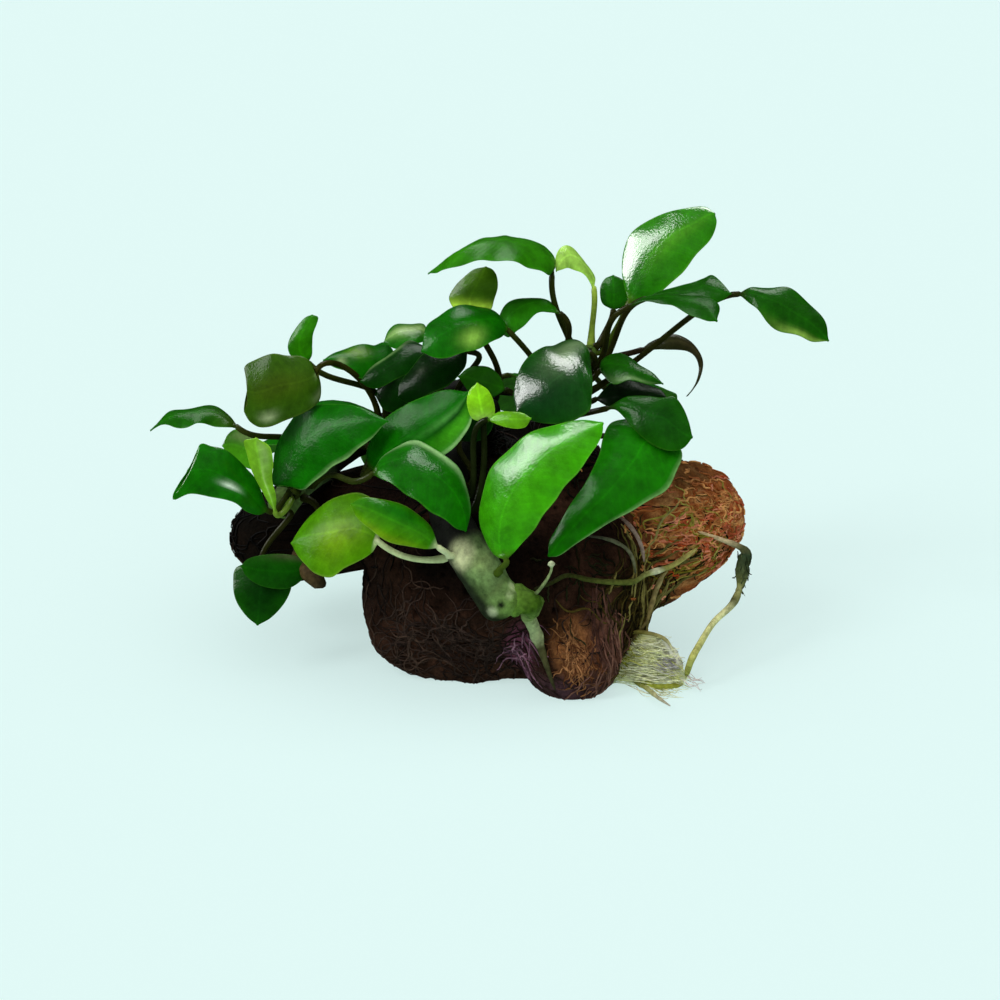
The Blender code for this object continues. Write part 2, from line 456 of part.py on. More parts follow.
def make_leaf(name, base, tip, faces, arch, rhizome, along, colour):
    """One leaf: rings of six points along its stalk and on along its blade, which widens and thins again."""
    middle, ahead, side, upper, half = blade_frames(name, base, tip, faces, arch, BLADE_RINGS)
    stalk = stalk_line(rhizome, along, middle[0], unit(middle[3] - middle[0]))
    rings = len(stalk)

    # The stalk's rings carry the blade's upper face back along it, so that the leaf doesn't twist.
    steps = unit(np.diff(np.vstack([stalk, middle[:1]]), axis=0))
    turned = [upper[0]]
    for step in steps[::-1]:
        turned.append(unit(turned[-1] - step * (turned[-1] @ step)))
    upper = np.vstack([turned[:0:-1], upper])
    side = np.vstack([np.cross(steps, upper[:rings]), side])
    spine = np.vstack([stalk, middle])

    in_stalk = np.arange(len(spine)) <= rings
    half = np.maximum(np.concatenate([np.zeros(rings), half]), TIP_WIDTH / 2)
    half[in_stalk] = STALK_THICK / 2
    half[rings + 1] = max(half[rings + 1], STALK_THICK / 2)
    thick = np.where(in_stalk, STALK_THICK / 2 * ROUND_SIX, BLADE_THICK / 2)
    thick[-1] = TIP_WIDTH / 2
    droop = np.where(in_stalk, 0, half * sin(BLADE_DROOP))
    sideways = half[:, None] * RING_ACROSS
    upwards = thick[:, None] * RING_ABOVE - droop[:, None] * np.abs(RING_ACROSS) ** 1.5
    rows = spine[:, None, :] + sideways[..., None] * side[:, None, :] + upwards[..., None] * upper[:, None, :]
    loft(name, rows, colour)


def loft(name, rows, colour):
    """A closed solid through the rows of points, each row a ring: a grid rolled up, welded and capped."""
    count, around, _ = rows.shape
    work = bmesh.new()
    bmesh.ops.create_grid(work, x_segments=count - 1, y_segments=around, size=1)
    for vertex in work.verts:
        ring = round((vertex.co.x + 1) / 2 * (count - 1))
        turn = round((vertex.co.y + 1) / 2 * around) % around
        vertex.co = (rows[ring, turn] - ORIGIN) * MM
    bmesh.ops.remove_doubles(work, verts=work.verts, dist=0.000002)
    rims = [edge for edge in work.edges if edge.is_boundary]
    bmesh.ops.holes_fill(work, edges=rims, sides=around)
    bmesh.ops.triangulate(work, faces=work.faces)
    bmesh.ops.recalc_face_normals(work, faces=work.faces)
    mesh = bpy.data.meshes.new(name)
    work.to_mesh(mesh)
    work.free()
    mesh.shade_smooth()
    place(name, mesh, colour)


def make_root(name):
    """A root that thins towards its end and keeps off the stone and the ground."""
    thick, thin, clinging, points = ROOTS[name]
    radii = np.linspace(thick, thin, ROOT_POINTS) / 2
    path = clear_of_stone(smooth_path(points, ROOT_POINTS), radii + ROOT_GAP, clinging)
    path[:, 2] = np.maximum(path[:, 2], radii)
    make_tube(name, path, radii, 1, "root")


for old in list(bpy.data.objects):
    bpy.data.objects.remove(old)
PLANT = bpy.data.collections.new("anubias on stone")
bpy.context.scene.collection.children.link(PLANT)

make_stone()
for rhizome in RHIZOMES:
    make_rhizome(rhizome)
for leaf in LEAVES:
    make_leaf(*leaf)
for root in ROOTS:
    make_root(root)
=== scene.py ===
from math import cos, pi, radians, sin

import bpy
import numpy as np
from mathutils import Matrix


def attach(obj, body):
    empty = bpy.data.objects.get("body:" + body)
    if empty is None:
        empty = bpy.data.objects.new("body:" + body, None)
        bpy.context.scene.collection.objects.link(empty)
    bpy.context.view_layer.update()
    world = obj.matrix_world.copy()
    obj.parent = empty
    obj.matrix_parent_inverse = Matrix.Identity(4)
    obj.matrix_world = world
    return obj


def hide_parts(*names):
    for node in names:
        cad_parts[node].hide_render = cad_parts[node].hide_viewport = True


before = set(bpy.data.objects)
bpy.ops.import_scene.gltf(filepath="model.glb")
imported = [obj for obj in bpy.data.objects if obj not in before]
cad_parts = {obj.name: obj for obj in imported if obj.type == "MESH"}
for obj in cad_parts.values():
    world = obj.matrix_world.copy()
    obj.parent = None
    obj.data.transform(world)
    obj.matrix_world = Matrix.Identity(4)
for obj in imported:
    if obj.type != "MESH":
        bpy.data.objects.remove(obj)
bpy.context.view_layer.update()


# ---------------------------------------------------------------------------------------------------
# The room: a floor of pale, faintly sea-green matt paper, lit a little from below. A soft light comes
# from the left front and a broad one from above, and the waxy leaves mirror three windows. The camera
# looks 20 degrees down, from about 750 mm away, as in the photo.
# ---------------------------------------------------------------------------------------------------

MM = 0.001
ORIGIN = np.array([-2.5, 10.4, 0.0])   # the frame's origin in the plant's own millimetres
EYE = np.array([0.0, -704.8, 298.5])   # the camera, in the same
LOOKS_DOWN = radians(20)
LENS, FILM = 108, 36                   # its focal length and the width of its film, in millimetres
NEAREST, FARTHEST = 0.05, 20           # what it can see, in metres
PAPER = "E3FBF8"
GLOW, GLOW_STRENGTH = 0.68, 0.98       # the share of the paper's light that comes from below, how bright
FLOOR_SIDE = 9.0                       # in metres
AIR, AIR_STRENGTH = "E4F3F2", 0.03
LAMPS = {
    # how strong, how wide it looks in degrees, the way it lies seen from the plant, whether it lights
    # surfaces, whether wax mirrors it
    "key": (1.1, 20, (-0.55, -0.5, 0.65), True, False),
    "fill": (2.4, 100, (0.0, -0.25, 0.95), True, False),
    "left window": (4.4, 32, (-0.87, 0.08, 0.49), False, True),
    "upper window": (2.1, 26, (-0.6, -0.12, 0.79), False, True),
    "high window": (2.6, 30, (0.14, 0.56, 0.82), False, True),
}


def linear(hex_code):
    """An sRGB hex colour as linear light: each channel to the power 2.4 above its straight start."""
    channels = np.array([int(hex_code[i:i + 2], 16) for i in (0, 2, 4)]) / 255
    curved = np.where(channels <= 0.04045, channels / 12.92, ((channels + 0.055) / 1.055) ** 2.4)
    return (*curved.tolist(), 1.0)


def new_material(name):
    """An empty material with its Principled shader: returns the material, its node tree and the shader."""
    made = bpy.data.materials.new(name)
    made.use_nodes = True
    return made, made.node_tree, made.node_tree.nodes["Principled BSDF"]


paper, _, shader = new_material("matt paper")
shader.inputs["Base Color"].default_value = tuple(np.array(linear(PAPER)) * (1 - GLOW))
shader.inputs["Emission Color"].default_value = linear(PAPER)
shader.inputs["Emission Strength"].default_value = GLOW * GLOW_STRENGTH
shader.inputs["Roughness"].default_value = 0.95
shader.inputs["Specular IOR Level"].default_value = 0.0

bpy.ops.mesh.primitive_plane_add(size=FLOOR_SIDE)
floor = bpy.context.object
floor.name = "floor"
floor.data.materials.append(paper)
floor.visible_glossy = False

for name, (strength, width, towards, lighting, mirrored) in LAMPS.items():
    lamp = bpy.data.lights.new(name, "SUN")
    lamp.energy = strength
    lamp.angle = radians(width)
    hung = bpy.data.objects.new(name, lamp)
    hung.visible_diffuse = lighting
    hung.visible_glossy = mirrored
    x, y, z = towards
    hung.rotation_euler = (np.arctan2(np.hypot(x, y), z), 0, np.arctan2(x, -y))
    bpy.context.scene.collection.objects.link(hung)

world = bpy.data.worlds.new("soft room")
world.use_nodes = True
air = world.node_tree.nodes["Background"]
air.inputs["Color"].default_value = linear(AIR)
air.inputs["Strength"].default_value = AIR_STRENGTH
bpy.context.scene.world = world
bpy.context.scene.view_settings.view_transform = "Standard"

camera = bpy.data.objects.new("camera", bpy.data.cameras.new("camera"))
camera.data.lens = LENS
camera.data.sensor_width = FILM
camera.data.clip_start = NEAREST
camera.data.clip_end = FARTHEST
camera.location = (EYE - ORIGIN) * MM
camera.rotation_euler = (pi / 2 - LOOKS_DOWN, 0, 0)
bpy.context.scene.collection.objects.link(camera)
bpy.context.scene.camera = camera


# ---------------------------------------------------------------------------------------------------
# The stone: a lump of dark lava stone, rough and pitted, purple-brown with rusty patches. It is one
# piece, flat where it stands. Its skin is a distance from a point inside it, in every direction.
# ---------------------------------------------------------------------------------------------------

STONE_HEART = np.array([4.0, 4.0, 31.0])
STONE_LOBES = (
    # middle, half lengths
    ((8, 4, 27), (33, 25, 26)),         # the main body
    ((-3, -13, 28), (24, 19, 18)),      # belly at the front, where the rhizome hangs over
    ((-12, -3, 16), (22, 20, 20)),      # lump low at the front left
    ((17, -19, 11), (12, 14, 14)),      # foot at the front
    ((43.5, 6, 33.5), (17.5, 15, 16)),  # round knob at the right, clear of the ground
    ((-54, 13, 28), (14, 14, 12)),      # knob at the left, clear of the ground
    ((-32, 12, 34), (20, 16, 11)),      # neck to the left knob
    ((0, 22, 36), (31, 17, 20)),        # high back
    ((6, 2, 10), (30, 20, 14)),         # broad sole
    ((-20, -11, 10), (10, 9, 9)),       # heel at the left
    ((21, -10, 18), (14, 14, 18)),      # shoulder behind the foot
    ((36, 2, 22), (9, 12, 8)),          # swelling under the right knob
)
STONE_MELT = 7.0                       # how tightly the lobes keep their own forms where they meet
STONE_LUMP, STONE_LUMP_WIDTH = 1.6, 13.0           # height and width of its slow rise and fall
STONE_CELLS = 118                      # of each side of the cube that the fine skin starts as
REACH_RANGE = (8.0, 82.0)              # where the skin is looked for, from the heart outwards
REACH_STEPS, REACH_HALVINGS = 26, 7
CRAGS = ((9.0, 0.9), (3.6, 0.55), (1.7, 0.3))      # width and height of the broken relief, coarse to fine
PITS = ((6.5, 1.5, 0.9), (3.2, 1.0, 0.55))         # spacing, depth and radius of the gas bubbles' pits
PIT_BRIM = 1.6                         # how far a pit's brim reaches, in its radii
PIT_SHADE = 0.9                        # painted shade: how fast the stone darkens with each millimetre down a pit


def unit(vectors):
    """Each vector at length 1."""
    vectors = np.asarray(vectors, float)
    return vectors / np.linalg.norm(vectors, axis=-1, keepdims=True)


def lumps(points, width):
    """A smooth rise and fall over the surface, from -1 to 1: waves in slanting directions, multiplied."""
    x, y, z = np.moveaxis(points / width, -1, 0)
    first = np.sin(2.1 * x + 1.3 * y - 0.7 * z + 0.4) * np.sin(1.7 * y + 1.9 * z + 1.2 * x + 2.0)
    second = np.sin(3.3 * z - 2.2 * x + 1.1) * np.sin(3.1 * x + 2.6 * y + 0.3) * np.sin(2.9 * y - 3.2 * z)
    return 0.65 * first + 0.35 * second


def scatter(cells, turn):
    """A number from 0 to 1 for each whole-numbered cell, as if drawn by lot: sine of a sum, magnified."""
    mixed = np.sin(cells @ np.array([12.9898, 78.233, 37.719]) + turn * 4.37) * 43758.5453
    return mixed - np.floor(mixed)


def cloud(points, width):
    """Soft random relief from -1 to 1: lots drawn at the corners of a cubic lattice and blended between."""
    at = points / width
    low = np.floor(at)
    t = at - low
    t = t * t * (3 - 2 * t)
    total = 0
    for corner in np.ndindex(2, 2, 2):
        share = np.prod(np.where(corner, t, 1 - t), axis=-1)
        total = total + share * scatter(low + corner, 0)
    return 2 * total - 1


def nearest_seed(points, spacing):
    """Distance in spacings from each point to the nearest of the seeds, one at random in each cubic cell."""
    at = points / spacing
    cell = np.floor(at)
    nearest = np.full(at.shape[:-1], 9.0)
    for step in np.ndindex(3, 3, 3):
        other = cell + np.array(step) - 1
        seed = other + np.stack([scatter(other, turn) for turn in (1, 2, 3)], axis=-1)
        nearest = np.minimum(nearest, np.linalg.norm(at - seed, axis=-1))
    return nearest


def stone_reach(directions):
    """How far the stone's even skin is from its heart, in millimetres: the last place where the melted
    lobes still add up to 1, found on coarse steps and then by halving."""
    def inside(reach):
        points = STONE_HEART + directions * reach[..., None]
        total = 0
        for middle, half in STONE_LOBES:
            total = total + np.exp(STONE_MELT * (1 - np.linalg.norm((points - middle) / half, axis=-1)))
        return total > 1

    near = np.full(directions.shape[:-1], REACH_RANGE[0])
    step = (REACH_RANGE[1] - REACH_RANGE[0]) / REACH_STEPS
    for tried in np.arange(REACH_STEPS) * step + REACH_RANGE[0]:
        near = np.where(inside(np.full_like(near, tried)), tried, near)
    for _ in range(REACH_HALVINGS):
        step /= 2
        near = np.where(inside(near + step), near + step, near)
    skin = STONE_HEART + directions * near[..., None]
    return near + STONE_LUMP * lumps(skin, STONE_LUMP_WIDTH)


def stone_skin(directions, pitted=True):
    """Points of the stone's rough skin and how deep each lies in a pit: the even skin, plus crags, less
    the pits, cut off at the ground."""
    reach = stone_reach(directions)
    even = STONE_HEART + directions * reach[..., None]
    for width, height in CRAGS:
        reach = reach + height * cloud(even, width)
    depth = np.zeros_like(reach)
    if pitted:
        for spacing, deep, radius in PITS:
            hollow = np.clip(1 - nearest_seed(even, spacing) * spacing / (radius * PIT_BRIM), 0, 1)
            depth = depth + deep * hollow * hollow * (3 - 2 * hollow)
        reach = reach - depth
    to_ground = STONE_HEART[2] / np.maximum(-directions[..., 2], 1e-6)
    reach = np.minimum(reach, to_ground)
    return STONE_HEART + directions * reach[..., None], depth


def make_piece(name, points, polygons, material, colours, along_across=None):
    """A smooth mesh object from points in the plant's millimetres, with a colour and, where asked, a place
    along and across the piece at each point for its material to read."""
    mesh = bpy.data.meshes.new(name)
    mesh.from_pydata(((points - ORIGIN) * MM).tolist(), [], polygons)
    mesh.materials.append(material)
    mesh.shade_smooth()
    layer = mesh.color_attributes.new("tint", "FLOAT_COLOR", "POINT")
    layer.data.foreach_set("color", np.asarray(colours, np.float32).ravel())
    if along_across is not None:
        corners = np.empty(len(mesh.loops), int)
        mesh.loops.foreach_get("vertex_index", corners)
        mesh.uv_layers.new(name="along_across").data.foreach_set("uv", along_across[corners].ravel())
    piece = bpy.data.objects.new(name, mesh)
    bpy.context.scene.collection.objects.link(piece)
    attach(piece, "root")
    return piece


def cube_lattice(cells):
    """Whole-numbered points on the six sides of a cube and the squares between them, seams closed."""
    a, b = [grid.ravel() for grid in np.meshgrid(np.arange(cells + 1), np.arange(cells + 1), indexing="ij")]
    sides, squares = [], []
    first = np.arange(cells * (cells + 1)).reshape(cells, cells + 1)[:, :-1].ravel()
    square = np.stack([first, first + cells + 1, first + cells + 2, first + 1], axis=-1)
    for axis in range(3):
        for end in (0, cells):
            points = np.empty(((cells + 1) ** 2, 3), int)
            points[:, axis] = end
            points[:, (axis + 1) % 3] = a
            points[:, (axis + 2) % 3] = b
            squares.append((square if end else square[:, ::-1]) + len(sides) * len(points))
            sides.append(points)
    points, place = np.unique(np.concatenate(sides), axis=0, return_inverse=True)
    return points, place.ravel()[np.concatenate(squares)]


def add(tree, kind, inputs=(), **settings):
    """A new node: its settings, then its inputs by name or number, each a value or a socket to link."""
    node = tree.nodes.new("ShaderNode" + kind)
    for name, value in settings.items():
        setattr(node, name, value)
    for name, value in dict(inputs).items():
        if isinstance(value, bpy.types.NodeSocket):
            tree.links.new(value, node.inputs[name])
        else:
            node.inputs[name].default_value = value
    return node


def lava_stone():
    """Scoria, broken and weathered: matt, purple-brown, darker in its pits with painted shade, and rusty
    where iron shows.
    """
    made, tree, shader = new_material("lava stone")
    where = add(tree, "TexCoord").outputs["Object"]
    tint = add(tree, "Attribute", attribute_name="tint").outputs["Color"]
    grain = add(tree, "TexNoise", {"Vector": where, "Scale": 1 / (1.1 * MM), "Detail": 6, "Roughness": 0.7})
    speck = add(tree, "TexNoise", {"Vector": where, "Scale": 1 / (0.45 * MM), "Detail": 3})
    shade = add(tree, "MapRange", {"Value": grain.outputs["Fac"], "From Min": 0.32, "From Max": 0.68,
                                   "To Min": 0.5, "To Max": 1.5})
    dusty = add(tree, "VectorMath", {0: tint, "Scale": shade.outputs["Result"]}, operation="SCALE")
    bright = add(tree, "MapRange", {"Value": speck.outputs["Fac"], "From Min": 0.6, "From Max": 0.72,
                                    "To Min": 0.0, "To Max": 0.4})
    pale = add(tree, "VectorMath", {0: tint, "Scale": 2.6}, operation="SCALE")
    mixed = add(tree, "Mix", {"Factor": bright.outputs["Result"], 6: dusty.outputs[0], 7: pale.outputs[0]},
                data_type="RGBA")
    bump = add(tree, "Bump", {"Height": grain.outputs["Fac"], "Distance": 0.8 * MM, "Strength": 0.9})
    tree.links.new(mixed.outputs[2], shader.inputs["Base Color"])
    tree.links.new(bump.outputs["Normal"], shader.inputs["Normal"])
    shader.inputs["Roughness"].default_value = 0.9
    shader.inputs["Specular IOR Level"].default_value = 0.02
    return made


STONE_BASE, STONE_BROWN, BROWN_WIDTH = "24160F", "3C261C", 5.0
PATTERN_STEP = 31.0                    # moves each patch's spots away from those of the one before
PATCHES = (
    # middle, how far it reaches each way, how strong, width of its spots, how even it is, colour
    ((50, 4, 36), (17, 20, 20), 1.0, 4.0, 1.0, "A05428"),        # the right knob, rusty
    ((50, 0, 38), (15, 19, 17), 0.9, 2.6, 0.25, "C87840"),       # salmon spots on it
    ((51, 0, 36), (14, 18, 16), 0.9, 1.6, 0.0, "D8A468"),        # paler ones
    ((53, 0, 35), (14, 18, 15), 0.8, 3.2, 0.0, "9A3018"),        # red ones
    ((44, 0, 27), (14, 14, 7), 0.7, 5.0, 0.5, "4A3A1C"),         # its lower side, with green-brown growth
    ((46, 4, 50), (18, 18, 6.5), 0.8, 5.0, 0.7, "4E3A1A"),       # its top, olive-brown
    ((17.5, -30, 15), (5, 8, 6.8), 0.95, 2.2, 0.7, "9E663C"),    # orange patch on the foot
    ((25, -25, 13), (4.5, 8, 15), 0.9, 3.0, 0.7, "6E483A"),      # red-brown beside it
    ((4.4, -29, 11), (3.4, 10, 9), 1.0, 3.5, 0.8, "80485E"),     # purple, left of the thick root
    ((13, -31, 3.5), (13, 10, 4.5), 0.85, 4.0, 0.6, "4A3238"),   # purple low on the foot
    ((33, -12, 22), (10, 11, 11), 0.8, 3.4, 0.5, "42360E"),      # olive growth on the right flank
    ((-8, -28, 38), (20, 18, 15), 0.97, 5.0, 0.9, "050403"),     # painted shade under the leaves, near black
    ((0, 10, 66), (46, 34, 22), 0.99, 6.0, 0.95, "050703"),      # painted shade on top of the stone, under the leaves, near black
    ((-54, 13, 28), (26, 26, 24), 0.99, 5.0, 0.95, "040502"),    # the left knob, almost black
)

lattice, squares = cube_lattice(STONE_CELLS)
outward = unit(np.tan((lattice / STONE_CELLS * 2 - 1) * pi / 4))
skin, depth = stone_skin(outward)


def stone_tint(points):
    """The stone's colour at points of its skin: two browns that mingle, and patches laid over them."""
    mottle = np.clip(0.5 + 0.9 * cloud(points, BROWN_WIDTH), 0, 1)[:, None]
    tints = np.array(linear(STONE_BASE)) * (1 - mottle) + np.array(linear(STONE_BROWN)) * mottle
    for order, (middle, reach, strong, width, even, colour) in enumerate(PATCHES):
        near = np.exp(-(np.linalg.norm((points - middle) / reach, axis=1) ** 4))
        spots = 0.3 + 1.9 * cloud(points + PATTERN_STEP * order, width)
        spots = np.clip(even + (1 - even) * spots, 0, 1)
        share = (near * strong * spots)[:, None]
        tints = tints * (1 - share) + np.array(linear(colour)) * share
    return tints


tints = stone_tint(skin)
# painted shade: the deeper a point lies in a pit, the darker it is
tints[:, :3] *= np.exp(-PIT_SHADE * depth)[:, None]
stone = make_piece("lava_stone", skin, squares.tolist(), lava_stone(), tints)
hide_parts("stone")


# ---------------------------------------------------------------------------------------------------
# The rhizomes: creeping stems as thick as a finger's tip, green-grey and firm, ringed by the scars of
# leaves that have gone. They lie on the stone, and the leaves and roots grow out of them.
# ---------------------------------------------------------------------------------------------------

RHIZOMES = {
    # name: (thickness at the old end, at the tip), points from the old cut end to the growing tip
    "rhizome_front": ((9.0, 10.5), ((-2, 16, 58), (-8, 4, 56), (-12, -10, 52), (-12, -22, 47),
                                    (-8, -31, 42), (-3, -36, 35), (3, -38, 28))),
    "rhizome_left": ((8.5, 7.5), ((0, 28, 62), (-12, 27, 60), (-25, 22, 55), (-37, 15, 52),
                                  (-48, 5, 46.5), (-56, -5, 40.5))),
    "rhizome_right": ((8.5, 3.6), ((14, 27, 60), (18, 24, 65), (21, 20, 71), (23, 15, 77))),
}
RHIZOME_RINGS = 14
RHIZOME_GAP = 1.8                      # clear between a rhizome and the stone
FINE_RINGS = 10                        # fine rings to each of the rhizome's own
RHIZOME_ROUND = 48
SCAR_SPACING = 6.5
SCAR_SLANT = (1.6, 0.8)                # how far a scar runs ahead on one side, and on two
RHIZOME_WAVES = (0.006, 0.04)          # swelling between the scars, and three soft ridges along it
RHIZOME_KNOBBLES, KNOBBLE_WIDTH = 0.35, 3.0
DOME_LENGTH = 0.8                      # of the round ends, in the rhizome's own radii


def smooth_path(points, count):
    """`count` points of a smooth curve through the given ones, at even steps between them: each is a
    cubic blend of the four points round it."""
    points = np.asarray(points, float)
    ends = np.vstack([2 * points[0] - points[1], points, 2 * points[-1] - points[-2]])
    at = np.linspace(0, len(points) - 1, count)
    span = np.minimum(at.astype(int), len(points) - 2)
    t = (at - span)[:, None]
    a, b, c, d = ends[span], ends[span + 1], ends[span + 2], ends[span + 3]
    return 0.5 * (2 * b + (c - a) * t + (2 * a - 5 * b + 4 * c - d) * t**2 + (3 * b - a - 3 * c + d) * t**3)


def lengths_along(points):
    """How far along a line each of its points is: the sum of the steps before it."""
    return np.concatenate([[0], np.cumsum(np.linalg.norm(np.diff(points, axis=0), axis=1))])


def clear_of_stone(points, room, clinging=0):
    """The points, moved out from the stone's heart to leave room to its skin; the first few cling to it."""
    away = np.asarray(points, float) - STONE_HEART
    far = np.linalg.norm(away, axis=1)
    far[:clinging] = 0
    least = stone_reach(unit(away)) + room
    return STONE_HEART + unit(away) * np.maximum(far, least)[:, None]


def rhizome_path(name):
    """The middle line of a rhizome and its radius along it, lying on the stone and not in it."""
    (old, young), points = RHIZOMES[name]
    radii = np.linspace(old, young, RHIZOME_RINGS) / 2
    return clear_of_stone(smooth_path(points, RHIZOME_RINGS), radii + RHIZOME_GAP), radii


def carried_frames(paths):
    """For lines of points, the way ahead and two ways square to it at each point, carried along each line
    so that they don't twist."""
    ahead = unit(np.gradient(paths, axis=-2))
    least = np.eye(3)[np.abs(ahead[..., 0, :]).argmin(axis=-1)]
    side = unit(np.cross(ahead[..., 0, :], least))
    sides = [side]
    for ring in range(1, paths.shape[-2]):
        way = ahead[..., ring, :]
        side = unit(side - way * (side * way).sum(-1, keepdims=True))
        sides.append(side)
    sides = np.stack(sides, axis=-2)
    return ahead, sides, np.cross(ahead, sides)


def tube_faces(lines, rings, around):
    """Squares between the rings of each of several tubes, and one face that closes each end."""
    line, ring, turn = np.meshgrid(np.arange(lines), np.arange(rings - 1), np.arange(around), indexing="ij")
    first = (line * rings + ring) * around
    beside = (turn + 1) % around
    corners = [first + turn, first + beside, first + around + beside, first + around + turn]
    squares = np.stack(corners, axis=-1).reshape(-1, 4).tolist()
    start = np.arange(lines)[:, None] * rings * around
    low = (start + np.arange(around)[::-1]).tolist()
    high = (start + (rings - 1) * around + np.arange(around)).tolist()
    return squares + low + high


def tube(path, radii):
    """Points of a round tube along the path; radii is its radius at each ring and turn."""
    around = radii.shape[-1]
    _, side, up = carried_frames(path)
    turns = np.arange(around) / around * 2 * pi
    out = np.cos(turns)[:, None] * side[..., None, :] + np.sin(turns)[:, None] * up[..., None, :]
    return path[..., None, :] + out * radii[..., None]


def rhizome_bark():
    """Living rhizome: firm green-grey skin with a dull wax, streaked along, browner in its scars."""
    made, tree, shader = new_material("living rhizome")
    where = add(tree, "TexCoord").outputs["Object"]
    tint = add(tree, "Attribute", attribute_name="tint").outputs["Color"]
    blotch = add(tree, "TexNoise", {"Vector": where, "Scale": 1 / (2.6 * MM), "Detail": 5, "Roughness": 0.65})
    fine = add(tree, "TexNoise", {"Vector": where, "Scale": 1 / (0.5 * MM), "Detail": 3})
    shade = add(tree, "MapRange", {"Value": blotch.outputs["Fac"], "From Min": 0.3, "From Max": 0.7,
                                   "To Min": 0.45, "To Max": 1.5})
    mixed = add(tree, "VectorMath", {0: tint, "Scale": shade.outputs["Result"]}, operation="SCALE")
    bump = add(tree, "Bump", {"Height": fine.outputs["Fac"], "Distance": 0.25 * MM, "Strength": 0.6})
    tree.links.new(mixed.outputs[0], shader.inputs["Base Color"])
    tree.links.new(bump.outputs["Normal"], shader.inputs["Normal"])
    shader.inputs["Roughness"].default_value = 0.7
    shader.inputs["Specular IOR Level"].default_value = 0.05
    return made


# The fourth colour, near black, is the old part's: partly real browning with age, partly painted shade where
# it lies under the leaves.
SKIN, SCAR, FRESH, AGED_AND_SHADED = [np.array(linear(code)) for code in ("64804A", "4A4E28", "5A7830", "0E110A")]
YOUNG_LENGTH = 21                      # of the growing end, where the colour changes
RIPENING = 2.5                         # how fast it changes there: aged and shaded to skin first, skin to fresh last
SCAR_STRENGTH, SCAR_EDGE = 0.35, 6     # how much of a scar's colour shows, how narrow a scar is
SHADED_SIDE = unit((-0.7, -0.1, -0.7))   # the lower left side, which painted shade darkens towards the old colour
# how strong that painted shade is, where it starts and how softly it comes in
SIDE_SHADE, SIDE_SHADE_EDGE, SIDE_SHADE_SOFTNESS = 0.92, 0.15, 0.5
RHIZOME_SPOTS = {
    # where, how far, how strong, colour: scars of leaves and roots on the growing tip; the two pale B8CC92
    # spots are a painted highlight streak
    "rhizome_front": (((0.2, -44.4, 31.6), 0.95, 1.0, "080806"), ((3.3, -41, 34.9), 1.5, 0.9, "B8CC92"),
                      ((2.2, -43, 33.4), 1.1, 0.8, "B8CC92"), ((-1.9, -44.2, 29.7), 1.3, 0.7, "B7C49A"),
                      ((-4, -42, 35), 2.5, 0.4, "3E5422"), ((3, -41, 38), 2.2, 0.6, "42641A"),
                      ((4.5, -42, 31.5), 3.2, 0.75, "56782A"), ((-9.5, -38.5, 42), 3.6, 0.85, "B4B98C"),
                      ((-4.5, -39, 40), 3.0, 0.5, "7E9058")),
}
RHIZOME_BUDS = {
    # where a bud or a root's foot swells out, how far about, how high
    "rhizome_front": (((7.5, -41, 31), 3.2, 2.5), ((-2, -42, 29), 3, 0.8), ((-7, -36, 44), 2.5, 0.8)),
}
living_rhizome = rhizome_bark()


